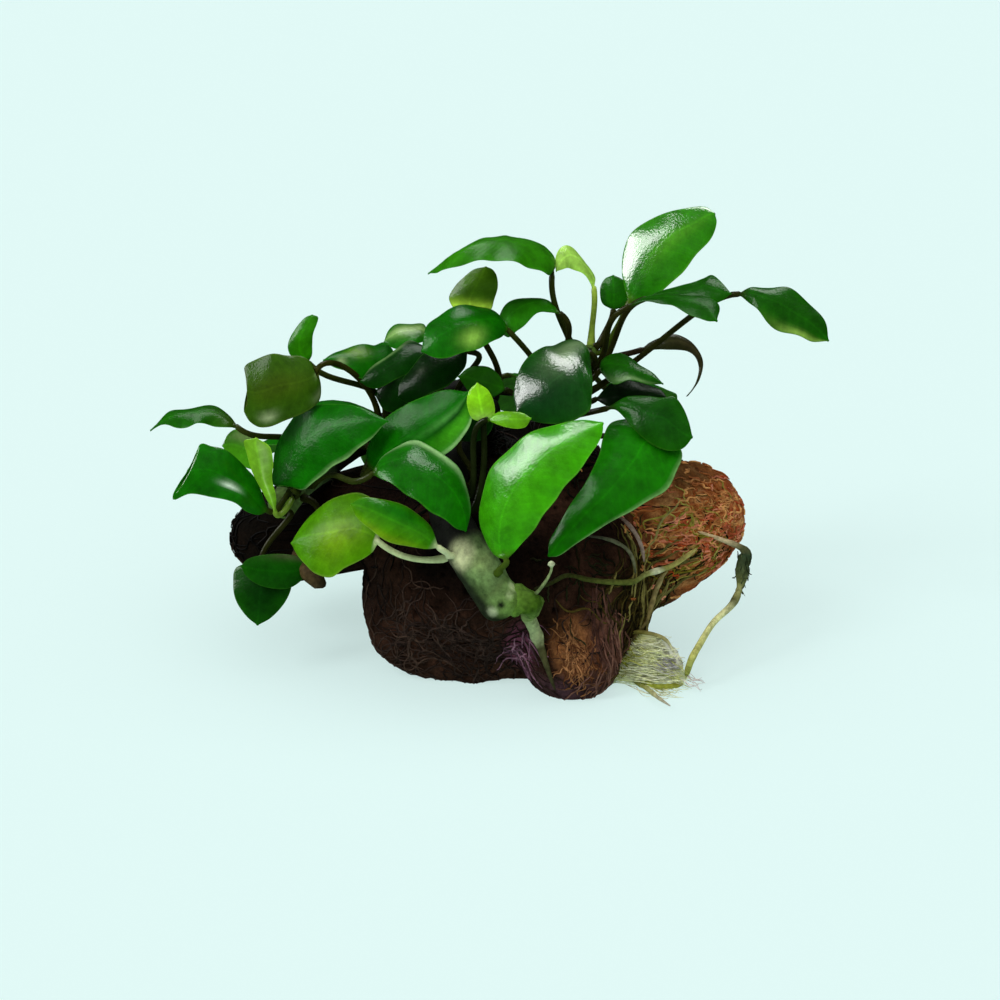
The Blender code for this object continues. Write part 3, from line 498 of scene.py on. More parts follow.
def make_rhizome(name):
    """A tube whose radius swells between slanting leaf scars and closes in a dome at each end: its radius
    there is that of a circle. Its colour goes from old to skin to fresh over the last part of its length; the
    old colour is near black, partly from age and partly painted shade under the leaves, and painted shade
    also darkens its lower left side."""
    path, radii = rhizome_path(name)
    rings = RHIZOME_RINGS * FINE_RINGS
    fine = smooth_path(path, rings)
    length = lengths_along(fine)
    turns = np.arange(RHIZOME_ROUND) / RHIZOME_ROUND * 2 * pi
    slant = length[:, None] + SCAR_SLANT[0] * np.sin(turns + 0.7) + SCAR_SLANT[1] * np.sin(2 * turns)
    ringed = np.cos(slant / SCAR_SPACING * 2 * pi)
    thick = np.interp(length, np.linspace(0, length[-1], RHIZOME_RINGS), radii)
    left = np.minimum(length, length[-1] - length)
    dome = np.sqrt(np.clip(1 - (1 - np.clip(left / (DOME_LENGTH * thick), 0.004, 1)) ** 2, 0, 1))
    waves = 1 + RHIZOME_WAVES[0] * ringed + RHIZOME_WAVES[1] * np.cos(3 * turns + length[:, None] / 3)
    points = tube(fine, (thick * dome)[:, None] * waves)
    lifted = RHIZOME_KNOBBLES * cloud(points, KNOBBLE_WIDTH)
    for middle, far, high in RHIZOME_BUDS.get(name, ()):
        lifted = lifted + high * np.exp(-((np.linalg.norm(points - middle, axis=-1) / far) ** 2))
    points = points + lifted[..., None] * unit(points - fine[:, None])

    young = np.clip((length - length[-1] + YOUNG_LENGTH) / YOUNG_LENGTH, 0, 1)[:, None, None]
    # from the near-black old colour, age and painted shade, to skin, then to fresh
    colour = AGED_AND_SHADED + (SKIN - AGED_AND_SHADED) * np.clip(young * RIPENING, 0, 1)
    colour = colour + (FRESH - SKIN) * np.clip(young * RIPENING - (RIPENING - 1), 0, 1)
    scarred = SCAR_STRENGTH * np.clip(-ringed * SCAR_EDGE - (SCAR_EDGE - 1), 0, 1)[..., None]
    colour = colour + scarred * (SCAR * (0.2 + 0.8 * young) - colour)
    # painted shade on the lower left side, darkening it towards the near-black old colour
    below = unit(points - fine[:, None]) @ SHADED_SIDE
    side_shaded = SIDE_SHADE * np.clip((below - SIDE_SHADE_EDGE) / SIDE_SHADE_SOFTNESS, 0, 1)[..., None]
    colour = colour + side_shaded * (AGED_AND_SHADED - colour)
    for middle, far, strong, code in RHIZOME_SPOTS.get(name, ()):
        near = strong * np.exp(-((np.linalg.norm(points - middle, axis=-1) / far) ** 4))[..., None]
        colour = colour + near * (np.array(linear(code)) - colour)
    colour = np.broadcast_to(colour, (rings, RHIZOME_ROUND, 4)).reshape(-1, 4)
    piece = make_piece(name + "_skin", points.reshape(-1, 3), tube_faces(1, rings, RHIZOME_ROUND),
                       living_rhizome, colour)
    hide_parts(name)


for rhizome in RHIZOMES:
    make_rhizome(rhizome)


# ---------------------------------------------------------------------------------------------------
# The leaves: thick waxy blades, darker above than below, with a sunk midrib, side veins that bend
# towards the tip and a thin pale rim. Each grows with its round stalk from a rhizome.
# ---------------------------------------------------------------------------------------------------

LEAVES = (
    # name, blade base, blade tip, the way the upper side faces, rise of the arch, the rhizome that it
    # grows from, how far along it, colour
    ("upright", (32, 14, 89), (53.5, 22, 110), (-0.25, -0.85, 0.45), 1.5, "right", 0.93, "bright"),
    ("small_dark", (28.5, 20, 85.5), (28.5, 24, 93.5), (-0.2, -0.8, 0.6), 1, "right", 0.97, "deep"),
    ("right_high", (35.5, 4, 93), (56, -5, 97), (0, -0.6, 0.8), 1.5, "right", 0.68, "deep"),
    ("right_mid", (31.5, 1, 92), (52, -15, 93), (0, -0.6, 0.8), 2, "right", 0.84, "deep"),
    ("far_right", (58, -2, 96), (79.5, -10, 86.5), (0.2, -0.8, 0.6), 2, "right", 0.36, "deep"),
    ("curled", (35.5, 20, 75), (47, 13, 65), (0.1, -0.8, 0.6), 1, "right", 0.75, "bronze"),
    ("arched_high", (13, 14, 97), (-17.5, 4, 99.5), (0, -0.25, 1), 9, "right", 0.86, "mid"),
    ("young_high", (23.5, 19, 91.5), (14, 15, 97), (0.1, -0.7, 0.7), 1, "right", 0.95, "lime"),
    ("arched_low", (15, 10, 87.5), (0, 4, 84.5), (0, -0.5, 0.87), 2, "right", 0.64, "deep"),
    ("middle_broad", (2, -1, 86.5), (-19, -12, 84.5), (0, -0.6, 0.8), 4, "right", 0.22, "mid"),
    ("middle_up", (-6.5, 8, 87), (-3.5, 12, 99), (-0.2, -1, 0.2), 1, "left", 0, "olive"),
    ("small_back", (-18, 16, 79.5), (-29, 12, 79.5), (0, -0.4, 0.9), 1.5, "left", 0.25, "mid"),
    ("back_left", (-25.5, 18, 73), (-44, 8, 76), (0, -0.5, 0.85), 2, "left", 0.36, "mid"),
    ("middle_vein", (-17, 8, 78.5), (-34.5, 0, 73), (-0.2, -0.6, 0.8), 2, "left", 0.35, "deep"),
    ("middle_low", (-8, 4, 79.5), (-25, -6, 71), (-0.2, -0.7, 0.7), 3, "left", 0.2, "deep"),
    ("left_up", (-47.5, 5, 76.5), (-46.5, 9, 87.5), (0, -1, 0.3), 1, "left", 0.46, "mid"),
    ("olive", (-45, -4, 77), (-61.5, -8, 74.5), (-0.1, -0.9, 0.5), 2, "left", 0.52, "olive"),
    ("far_left", (-64.5, -8, 64), (-85, -14, 65), (0, -0.4, 0.9), 2, "left", 0.78, "mid"),
    ("left_square", (-57, -12, 43.5), (-75.5, -20, 57), (-0.2, -0.8, 0.6), 2, "left", 0.9, "mid"),
    ("young_left", (-55, -15, 44), (-59, -18, 64.5), (-0.3, -0.9, 0.3), 1, "left", 0.96, "lime"),
    ("left_big", (-51, -13, 50), (-27, -17, 68.5), (-0.1, -0.75, 0.65), 3, "left", 0.93, "mid"),
    ("striped", (-32, -14, 55), (-7.5, -16, 75.5), (0, -0.7, 0.7), 3, "left", 0.6, "mid"),
    ("middle_arched", (-30.5, -30, 59.5), (-8, -37, 47.5), (0.2, -0.6, 0.75), 5, "left", 0.85, "mid"),
    ("young_centre", (-4, -20, 69), (-5.5, -18, 78.5), (0, -1, 0.3), 1, "front", 0.55, "lime"),
    ("young_centre_low", (-3, -22, 70.5), (7.5, -24, 71.5), (0, -0.7, 0.7), 1, "front", 0.5, "lime"),
    ("centre_high", (22, 0, 80.5), (4, -18, 71), (-0.3, -0.7, 0.6), 6, "right", 0.5, "deep"),
    ("front_big", (1.5, -43, 42.5), (24, -42, 76.5), (-0.3, -0.8, 0.5), 3, "front", 0.84, "bright"),
    ("front_right", (40, -14, 64.5), (11.5, -34, 40), (-0.2, -0.8, 0.5), 3, "right", 0.02, "mid"),
    ("front_yellow", (-29.5, -30, 42.5), (-51, -20, 38), (0, -0.8, 0.6), 2, "front", 0.68, "yellow"),
    ("front_left", (-14.5, -40, 44.5), (-35.5, -36, 54), (0.1, -0.8, 0.6), 2, "front", 0.7, "yellow"),
    ("left_down", (-59, -12, 30.5), (-60, -18, 15.5), (-0.1, -1, 0.2), 2, "left", 1, "deep"),
    ("left_low", (-47.5, -14, 29), (-63.5, -20, 32), (0, -0.9, 0.4), 1, "left", 0.9, "deep"),
    ("right_top", (24.5, 4, 74.5), (40, -5, 74), (0.1, -0.6, 0.8), 2, "right", 0.13, "deep"),
    ("right_ribbed", (26, -9, 69), (46.5, -19, 65), (0.1, -0.8, 0.6), 2, "right", 0, "deep"),
    ("dark_centre", (-10, -10, 61), (-5, -6, 73), (-0.1, -0.9, 0.4), 1, "front", 0.4, "deep"),
    ("dark_middle", (1.5, 9, 68), (-10.5, 9, 71.5), (0, -0.9, 0.45), 1, "left", 0.04, "deep"),
    ("dark_left", (-57, -3, 52.5), (-68.5, -5, 58), (-0.1, -0.9, 0.4), 1, "left", 0.86, "deep"),
    ("rear_left", (-48, 21, 52), (-66, 44, 37), (-0.3, 0.5, 0.8), 3, "left", 0.85, "mid"),
    ("rear_arched", (-36, 28, 56), (-52, 50, 46), (-0.1, 0.6, 0.8), 4, "left", 0.6, "mid"),
    ("rear_middle", (-20, 37, 63), (-22, 62, 46), (0, 0.6, 0.8), 4, "left", 0.4, "deep"),
    ("rear_big", (2, 40, 62), (6, 66, 42), (0, 0.6, 0.8), 4, "left", 0.08, "mid"),
    ("rear_right", (28, 32, 61), (44, 56, 46), (0.2, 0.6, 0.8), 5, "right", 0.4, "mid"),
    ("dark_right", (24, 9, 65.5), (41.5, 4, 67.5), (0, -0.6, 0.8), 1, "right", 0.2, "deep"),
    ("rear_high", (-24, 30, 67), (-38, 49, 62), (0, 0.4, 1), 3, "left", 0.25, "mid"),
    ("rear_hanging", (-26, 38, 50), (-32, 56, 28), (0, 0.7, 0.7), 3, "left", 0.48, "deep"),
    ("rear_drooping", (10, 46, 50), (18, 58, 27), (0.1, 0.7, 0.7), 3, "right", 0, "mid"),
    ("dark_back", (-20, 11, 65.5), (-31.5, 13, 65.5), (0, -0.8, 0.6), 1, "left", 0.28, "deep"),
)

# The front leaves' edges, left and right of the way from base to tip, drawn as seen from a point 750 mm
# in front and 20 degrees up: on a grid of 0.25 mm squares, counted from the left and from the top.
OUTLINES = {
    "upright": (((625, 290), (622, 272), (623, 252), (632, 233), (654, 217), (683, 209), (703, 206)),
                ((642, 300), (662, 291), (680, 275), (695, 257), (711, 238), (717, 223))),
    "small_dark": (((602, 303), (600, 289), (605, 279)),
                   ((625, 305), (629, 292), (623, 280))),
    "right_high": (((665, 289), (690, 284), (703, 278), (712, 274), (722, 283)),
                   ((670, 304), (700, 304), (718, 302))),
    "right_mid": (((646, 297), (680, 294), (717, 302)),
                  ((642, 302), (660, 303), (681, 310), (704, 321))),
    "far_right": (((752, 287), (773, 287), (790, 289), (810, 303), (825, 323)),
                  ((746, 300), (756, 309), (767, 322), (782, 332), (800, 337), (813, 341))),
    "curled": (((650, 342), (662, 337), (676, 335), (690, 340), (699, 351), (703, 364), (700, 379),
                (693, 390)),
               ((662, 350), (676, 349), (688, 352), (696, 359), (699, 370), (695, 384))),
    "arched_high": (((548, 276), (537, 270), (519, 264), (495, 260), (464, 264), (444, 271)),
                    ((552, 260), (541, 251), (519, 241), (495, 236), (465, 247), (443, 263))),
    "young_high": (((588, 280), (580, 272), (570, 268), (562, 270)),
                   ((594, 276), (584, 260), (574, 249), (565, 246), (558, 251), (555, 262))),
    "arched_low": (((548, 312), (538, 314), (529, 320), (519, 330), (509, 338)),
                   ((548, 301), (534, 297), (518, 299), (505, 306), (498, 319))),
    "middle_broad": (((500, 338), (486, 345), (468, 352), (448, 357), (433, 357)),
                     ((500, 317), (488, 308), (470, 305), (451, 308), (438, 316), (426, 328))),
    "middle_up": (((458, 312), (449, 299), (454, 287), (464, 277), (475, 269)),
                  ((489, 312), (494, 300), (498, 288), (497, 277), (493, 270))),
    "small_back": (((420, 343), (405, 348), (392, 347)),
                   ((424, 325), (411, 323), (397, 324), (388, 332))),
    "back_left": (((385, 372), (362, 378), (345, 372), (331, 365)),
                  ((385, 343), (371, 345), (353, 346), (339, 350), (329, 356))),
    "middle_vein": (((422, 364), (400, 378), (380, 387), (368, 387)),
                    ((412, 340), (398, 348), (380, 360), (368, 371))),
    "middle_low": (((464, 370), (446, 386), (425, 397), (408, 402)),
                   ((450, 342), (430, 350), (412, 366), (400, 384))),
    "left_up": (((293, 357), (288, 348), (290, 337), (298, 325), (306, 317)),
                ((312, 355), (312, 345), (313, 335), (317, 324), (318, 317))),
    "olive": (((321, 386), (319, 401), (306, 412), (286, 420), (270, 427), (256, 426), (246, 414)),
              ((311, 362), (300, 356), (285, 355), (272, 354), (256, 359), (244, 368))),
    "far_left": (((225, 428), (210, 423), (199, 425), (188, 428), (174, 425), (163, 425)),
                 ((230, 415), (213, 408), (195, 406), (177, 410), (163, 418))),
    "left_square": (((258, 515), (246, 511), (236, 504), (226, 500), (212, 497), (190, 494), (173, 499)),
                    ((256, 480), (246, 467), (236, 458), (224, 449), (212, 446), (199, 445))),
    "young_left": (((262, 492), (252, 470), (246, 453), (244, 441)),
                   ((276, 495), (272, 478), (273, 460), (270, 446))),
    "left_big": (((272, 484), (273, 466), (276, 450), (282, 434), (292, 418), (305, 408), (322, 404),
                  (340, 404), (358, 407), (374, 413)),
                 ((306, 489), (322, 475), (344, 460), (363, 446), (379, 430))),
    "striped": (((366, 452), (374, 432), (388, 415), (404, 406), (424, 396), (446, 390)),
                ((395, 476), (425, 467), (447, 453), (462, 439), (471, 424), (472, 405))),
    "middle_arched": (((382, 456), (398, 446), (416, 441), (435, 448), (450, 460), (462, 473), (469, 492),
                       (470, 512)),
                      ((399, 489), (423, 506), (440, 517), (454, 527))),
    "young_centre": (((472, 418), (467, 404), (469, 391)),
                     ((494, 416), (494, 403), (488, 390))),
    "young_centre_low": (((498, 412), (511, 412), (523, 413)),
                         ((498, 425), (512, 428), (525, 427))),
    "centre_high": (((592, 375), (592, 395), (589, 412), (572, 421), (550, 424), (532, 421)),
                    ((578, 341), (562, 342), (543, 348), (528, 356), (519, 372), (513, 394))),
    "front_big": (((493, 554), (484, 538), (480, 520), (480, 502), (484, 485), (493, 466), (511, 447),
                   (534, 431), (562, 423), (585, 420)),
                  ((523, 543), (540, 521), (558, 496), (577, 473), (593, 452), (602, 433))),
    "front_right": (((682, 452), (676, 473), (665, 491), (638, 507), (617, 519), (594, 532), (571, 548),
                     (558, 556)),
                    ((640, 420), (613, 421), (603, 438), (599, 454), (587, 480), (573, 500), (562, 519),
                     (550, 539))),
    "front_yellow": (((372, 552), (356, 562), (346, 568), (332, 577), (316, 574), (307, 566), (297, 555)),
                     ((382, 516), (372, 499), (358, 492), (344, 495), (325, 503), (309, 516), (298, 532))),
    "front_left": (((425, 549), (405, 546), (385, 540), (368, 528), (356, 516)),
                   ((430, 525), (415, 512), (398, 503), (378, 498), (362, 498))),
    "left_down": (((288, 568), (292, 584), (285, 602), (272, 617)),
                  ((237, 567), (233, 583), (236, 600), (246, 616))),
    "left_low": (((300, 582), (284, 589), (262, 586), (247, 577)),
                 ((300, 558), (284, 554), (262, 555), (248, 559))),
    "right_top": (((602, 360), (617, 354), (631, 357), (641, 366), (654, 374)),
                  ((612, 383), (630, 381), (650, 384))),
    "right_ribbed": (((625, 398), (645, 395), (662, 398), (674, 397), (683, 407), (689, 422)),
                     ((616, 410), (625, 418), (635, 431), (650, 443), (668, 451), (683, 449))),
    "dark_left": (((258, 470), (244, 467), (231, 460)),
                  ((264, 448), (252, 434), (238, 429), (228, 434))),
    "dark_middle": (((490, 398), (472, 395)),
                    ((500, 376), (488, 367), (470, 367))),
    "dark_back": (((408, 410), (395, 413), (383, 409)),
                  ((410, 378), (396, 373), (382, 380))),
    "dark_right": (((610, 383), (630, 381), (648, 384), (661, 390)),
                   ((610, 408), (630, 410), (652, 406))),
}
GRID_MIDDLE = 500
GRID_FAR = 3000                        # from the camera to the grid, in squares

# The other leaves swell evenly to these widths.
WIDTHS = {
    "dark_centre": 13, "rear_left": 20, "rear_arched": 20, "rear_middle": 21, "rear_big": 22,
    "rear_right": 21, "rear_high": 16, "rear_hanging": 18, "rear_drooping": 18,
}
EDGE_POINTS, EDGE_FINE = 12, 240       # along an edge, as given and as smoothed
EDGE_PASSES = 4                        # until a drawn edge lies on the leaf
LEAF_COLOURS = {
    # upper side, under side, stalk
    "deep": ("124E02", "2A5A12", "26280C"),
    "mid": ("116602", "357018", "2C340E"),
    "bright": ("2F8A04", "558E28", "3C5014"),
    "lime": ("86C81A", "98CC38", "161E08"),
    "yellow": ("4E8A06", "6E8A30", "B4C28C"),
    "olive": ("36500A", "4A5C20", "2E300C"),
    "bronze": ("262C14", "343A22", "282010"),
}
STALK_COLOURS = {"young_high": "8AA63A", "young_left": "6F8F2E", "front_left": "B8C294"}
BLADE_SWELL = (0.6, 0.78)              # how bluntly an even blade starts and ends
BLADE_DROOP = radians(13)              # how far the two halves hang from the midrib
BLADE_THICK, TIP_WIDTH = 0.8, 0.5
STALK_THICK, STALK_FLAT = 1.5, 0.95    # a stalk's width, and its height as a share of that
SHEATH, SHEATH_SHARE = 1.5, 0.35       # how much wider a stalk is at its foot, and for how much of it
SIDE_START = 0.3                       # how much of a leaf's height counts for where its stalk starts
STALK_CLIMB, CLIMB_RANGE = 1.9, (0.1, 2.0)         # how steeply it leaves, by how high the blade is
STALK_DEPTH, STALK_STEP = 0.6, 1.3     # where it starts, in the rhizome's radii; its first free point
LEAVING_HANDLE, ARRIVING_HANDLE, LONGEST_HANDLE = 0.4, 0.35, 9.0      # shares of the way; a limit
STALK_FINE, BLADE_FINE = 18, 58        # rings of a stalk and of a blade
RING_CROWDING = 1.1                    # blade rings lie closer towards the stalk, by this power
AHEAD_RING = 12                        # the blade's ring that the stalk heads for
HALF_RING = 19                         # points across a blade, rim to rim
NECK = 14                              # how fast the blade opens from the stalk's width
FLATTENS = 16                          # a blade is flat past 1/16 of its length
MIDRIB_DEPTH, MIDRIB_WIDTH = 0.3, 0.7
VEIN_SPACING = 2.4                     # between side veins, along the blade
VEIN_LEAN = 0.6                        # how far forward they lean for each millimetre aside
VEIN_SWELL = 0.028                     # how high the blade swells between them
WAVE_HEIGHT, WAVE_LENGTH = 0.35, 11.0  # of the rims' slow waves
RIMS_APART = 1.2                       # how far the left and right rims are out of step, in radians
WAVY = {"olive": 1.3, "far_left": 2, "far_right": 1.6, "curled": 1.5, "middle_low": 1.5, "back_left": 1.5}
WAX_USUAL, WAX_STALK = 0.14, 0.08      # how much wax the blades and the stalks have
WAX = {
    "upright": 1, "centre_high": 0.7, "front_big": 0.5, "left_square": 0.6, "middle_arched": 0.2,
    "front_right": 0.1, "left_big": 0.06, "striped": 0.04, "front_yellow": 0.04, "dark_right": 0.03,
    "right_mid": 0.03, "right_high": 0.08, "middle_low": 0.08, "arched_high": 0.05, "far_left": 0.06,
    "back_left": 0.07, "middle_vein": 0.08,
}
RIM, RIM_LIGHT, RIM_EDGE = 0.5, 1.6, 18   # how much of the rim's own colour shows, how light, how narrow
GREENS = 9                             # the stalk's colour is gone past 1/9 of the blade

# Lighter, darker and yellowed places on the upper sides: where along and across (-1 left, 1 right), how far
# they reach both ways, how strong, which colour. The first four are ALL_OVER for a whole blade. A few are
# painted light: highlights on left_square, middle_arched, young_centre and centre_high, and the near-black
# painted shade of middle_low and of the dark leaves deep in the plant.
ALL_OVER = (0.5, 0, 2, 3)
MARKS = {
    "upright": ((*ALL_OVER, 0.6, "257404"), (0.6, 0.1, 0.3, 0.25, 0.5, "5CA81C"),
                (0.1, 0.2, 0.25, 1, 0.7, "0F5A04"), (0.85, 0.9, 0.2, 0.3, 0.5, "2A7A08")),
    "far_right": ((0.75, 0.9, 0.25, 0.2, 0.7, "8FB54A"),),
    "arched_high": ((*ALL_OVER, 0.6, "368408"),),
    "young_high": ((*ALL_OVER, 0.4, "B4D27A"),),
    "arched_low": ((*ALL_OVER, 0.6, "2A7E0C"),),
    "left_up": ((*ALL_OVER, 0.45, "3A8408"),),
    "middle_up": ((*ALL_OVER, 0.5, "3E7C10"), (0.28, 0, 0.1, 2, 0.97, "D0FF50"),
                  (0.8, 0, 0.3, 1, 0.6, "4E7410")),
    "middle_broad": ((0.5, -0.6, 0.1, 0.3, 0.8, "A8DC58"), (*ALL_OVER, 0.35, "0B5204")),
    "small_back": ((0.5, 0.15, 0.5, 0.45, 0.75, "9CBE70"),),
    "back_left": ((0.64, 0.4, 0.12, 0.4, 0.7, "6F9420"), (0.8, -0.3, 0.05, 0.3, 0.6, "B5C890"),
                  (0.3, 0, 0.5, 1, 0.5, "0A4A02")),
    "middle_vein": ((*ALL_OVER, 0.8, "042A04"), (0.6, 0.85, 0.35, 0.12, 0.7, "6E9456")),
    # middle_low: the near-black all over is painted shade deep in the plant
    "middle_low": ((0.64, 0.3, 0.05, 0.15, 0.8, "C0D8A8"), (0.45, 0.1, 0.3, 0.08, 0.5, "7C9C68"),
                   (*ALL_OVER, 0.93, "021802")),
    "olive": ((*ALL_OVER, 0.5, "24580A"), (0.5, 0, 0.28, 0.45, 0.5, "44500A"),
              (0.1, -0.1, 0.06, 0.15, 0.6, "8FA070"), (0.6, -0.75, 0.06, 0.12, 0.7, "A8B888"),
              (0.2, -0.8, 0.06, 0.15, 0.5, "8FA070")),
    "far_left": ((*ALL_OVER, 0.4, "1E4A06"), (0.05, 0, 0.25, 2, 0.5, "3A3010")),
    # left_square: a painted highlight, a small white glint
    "left_square": ((0.42, -0.3, 0.07, 0.1, 0.97, "F0FFE8"),),
    "young_left": ((0.75, 0.5, 0.2, 0.3, 0.6, "C8DC9C"), (*ALL_OVER, 0.65, "5A8A24"),
                   (0.4, 0.2, 0.3, 0.12, 0.7, "A8D070")),
    "left_big": ((*ALL_OVER, 0.5, "075004"), (0.05, -0.8, 0.3, 0.4, 0.85, "062A04"),
                 (0.5, 1.0, 0.5, 0.05, 0.8, "9CBE80")),
    "striped": ((0.3, 0, 0.3, 1, 0.3, "0A4A02"), (*ALL_OVER, 0.4, "075004"),
                (0.75, 0.7, 0.22, 0.25, 0.85, "48A41C"), (0.75, 0.35, 0.25, 0.07, 0.8, "06300A"),
                (0.75, 0.14, 0.2, 0.05, 0.7, "5C9E4C"), (0.75, 0.98, 0.25, 0.07, 0.85, "A8D88C")),
    # middle_arched: the pale band along its left rim is a painted highlight
    "middle_arched": ((0.45, -0.88, 0.26, 0.15, 0.85, "A9D890"), (0.3, 0.3, 0.25, 0.5, 0.5, "0A4A02")),
    # young_centre: the whitish foot is a painted highlight; the green above is its own
    "young_centre": ((0.1, 0, 0.2, 1, 0.5, "CFE89A"), (0.6, 0, 0.4, 1, 0.5, "6DB814")),
    "young_centre_low": ((*ALL_OVER, 0.85, "4A8C10"),),
    # centre_high: the pale patch near its top is a painted highlight, over the windows' own reflection
    "centre_high": ((0.75, 0, 0.45, 1.2, 0.8, "062E12"), (0.32, 0.35, 0.22, 0.35, 0.4, "A8C890")),
    "front_big": ((*ALL_OVER, 0.35, "48AC0C"), (0.7, 0.1, 0.3, 0.3, 0.4, "4CA018"),
                  (0.1, 0.3, 0.15, 0.8, 0.5, "1E7004")),
    "front_right": ((*ALL_OVER, 0.5, "1C7C03"), (0.5, -1.0, 0.6, 0.05, 0.8, "9CBE80"),
                    (0.2, 0.5, 0.3, 0.5, 0.4, "0B5204")),
    "right_top": ((0.6, 0.85, 0.3, 0.15, 0.7, "6E9456"),),
    "right_ribbed": ((0.5, 0, 0.4, 0.8, 0.5, "0A3A0C"),),
    "front_yellow": ((*ALL_OVER, 0.35, "3C7204"), (0.5, -0.1, 0.25, 0.5, 0.6, "7E9A10"),
                     (0.25, 0.6, 0.2, 0.4, 0.6, "2E7A08"), (0.8, 0, 0.25, 1, 0.5, "3E8A08")),
    "front_left": ((*ALL_OVER, 0.3, "0E6204"), (0.5, 0.5, 0.6, 0.85, 0.97, "0E6204"),
                   (0.5, -0.9, 0.35, 0.2, 0.55, "7A9C14"), (0.1, 0, 0.2, 1, 0.7, "2E7A08")),
    "left_down": ((0.5, 0, 0.5, 1, 0.8, "042406"),),
    "left_low": ((0.3, 0.9, 0.3, 0.25, 0.7, "55583C"), (0.5, 0, 0.5, 1, 0.4, "08400A")),
    "small_dark": ((*ALL_OVER, 0.5, "1E6E08"),),
    "curled": ((0.5, 0, 0.3, 1, 0.4, "42341C"),),
    # dark_centre: near black all over, painted shade in the depths between the leaves
    "dark_centre": ((*ALL_OVER, 0.75, "031C03"),),
    "dark_middle": ((*ALL_OVER, 0.85, "2C7410"),),
    "dark_left": ((*ALL_OVER, 0.9, "58B01C"), (0.6, 0.6, 0.2, 0.3, 0.7, "BCD48C")),
    # dark_right: near black all over, painted shade in the gap between the right leaves
    "dark_right": ((*ALL_OVER, 0.9, "021202"),),
    # dark_back: near black all over, painted shade in the depths between the leaves
    "dark_back": ((*ALL_OVER, 0.75, "031C03"),),
}


def drawn_edge(spots, base, tip, up, arch):
    """An edge in space: where the lines of sight through its spots meet the leaf, a sloping plane that
    its arch lifts and that droops to its edges."""
    spots = np.array(spots, float) - GRID_MIDDLE
    ahead = np.array([0, cos(LOOKS_DOWN), -sin(LOOKS_DOWN)])
    above = np.array([0, sin(LOOKS_DOWN), cos(LOOKS_DOWN)])
    ways = ahead * GRID_FAR + spots[:, :1] * (1, 0, 0) - spots[:, 1:] * above
    run = tip - base
    rise = np.zeros(len(spots))
    for _ in range(EDGE_PASSES):
        points = EYE + ways * (((base - EYE) @ up + rise) / (ways @ up))[:, None]
        along = np.clip((points - base) @ run / (run @ run), 0, 1)
        out = np.linalg.norm(points - base - along[:, None] * run - rise[:, None] * up, axis=1)
        rise = 4 * along * (1 - along) * arch - out * sin(BLADE_DROOP)
    return np.vstack([base, points, tip])


def swelling_edge(half_width, base, tip, up, arch):
    """An edge of an even blade: its distance from the middle is a product of powers of both ends' shares."""
    p, q = BLADE_SWELL
    peak = (p / (p + q)) ** p * (q / (p + q)) ** q
    along = np.linspace(0, 1, EDGE_POINTS)[:, None]
    out = half_width * along**p * (1 - along) ** q / peak
    side = np.cross(unit(tip - base), up)
    lifted = 4 * along * (1 - along) * arch - np.abs(out) * sin(BLADE_DROOP)
    return base + along * (tip - base) + lifted * up + out * cos(BLADE_DROOP) * side


def at_shares(edge, shares):
    """Points of the smooth edge at shares of its length."""
    fine = smooth_path(edge, EDGE_FINE)
    length = lengths_along(fine)
    return np.stack([np.interp(np.asarray(shares) * length[-1], length, axis) for axis in fine.T], axis=-1)


def blade_frames(name, base, tip, faces, arch, shares):
    """A blade's middle line at shares of its edges, the ways aside and up from it, and half its width."""
    base, tip = np.array(base, float), np.array(tip, float)
    run = unit(tip - base)
    up = unit(np.array(faces) - run * np.dot(faces, run))
    if name in OUTLINES:
        edges = [drawn_edge(spots, base, tip, up, arch) for spots in OUTLINES[name]]
    else:
        edges = [swelling_edge(way * WIDTHS[name] / 2, base, tip, up, arch) for way in (-1, 1)]
    left, right = [at_shares(edge, shares) for edge in edges]
    half = np.linalg.norm(right - left, axis=1) / 2
    side = right - left
    side[0], side[-1] = side[1], side[-2]
    side = unit(side)
    middle = (left + right) / 2
    ahead = unit(np.gradient(middle, axis=0) + 1e-3 * run)
    upper = unit(np.cross(side, ahead))
    return middle + (half * sin(BLADE_DROOP))[:, None] * upper, side, upper, half


def stalk_line(rhizome, along, blade_base, blade_ahead):
    """Middle line of a stalk: a cubic curve that leaves the rhizome square to it and runs into the blade."""
    path, radii = rhizome_path("rhizome_" + rhizome)
    at = along * (RHIZOME_RINGS - 1)
    low = min(int(at), RHIZOME_RINGS - 2)
    axis = path[low] + (at - low) * (path[low + 1] - path[low])
    direction = unit(path[low + 1] - path[low])
    out = (blade_base - axis) * (1, 1, SIDE_START)
    out = unit(out - direction * (out @ direction))
    start = axis + out * (radii[low] + STALK_STEP)
    reach = np.linalg.norm(blade_base - start)
    climb = np.clip(STALK_CLIMB * (blade_base[2] - start[2]) / reach, *CLIMB_RANGE)
    rising = unit(out + climb * np.array([0, 0, 1]))
    leaving = start + rising * reach * LEAVING_HANDLE
    arriving = blade_base - blade_ahead * min(reach * ARRIVING_HANDLE, LONGEST_HANDLE)
    t = np.linspace(0, 1, STALK_FINE, endpoint=False)[:, None]
    weights = (1 - t) ** 3, 3 * t * (1 - t) ** 2, 3 * t**2 * (1 - t), t**3
    line = sum(weight * handle for weight, handle in zip(weights, (start, leaving, arriving, blade_base)))
    return np.vstack([axis + out * radii[low] * STALK_DEPTH, line])


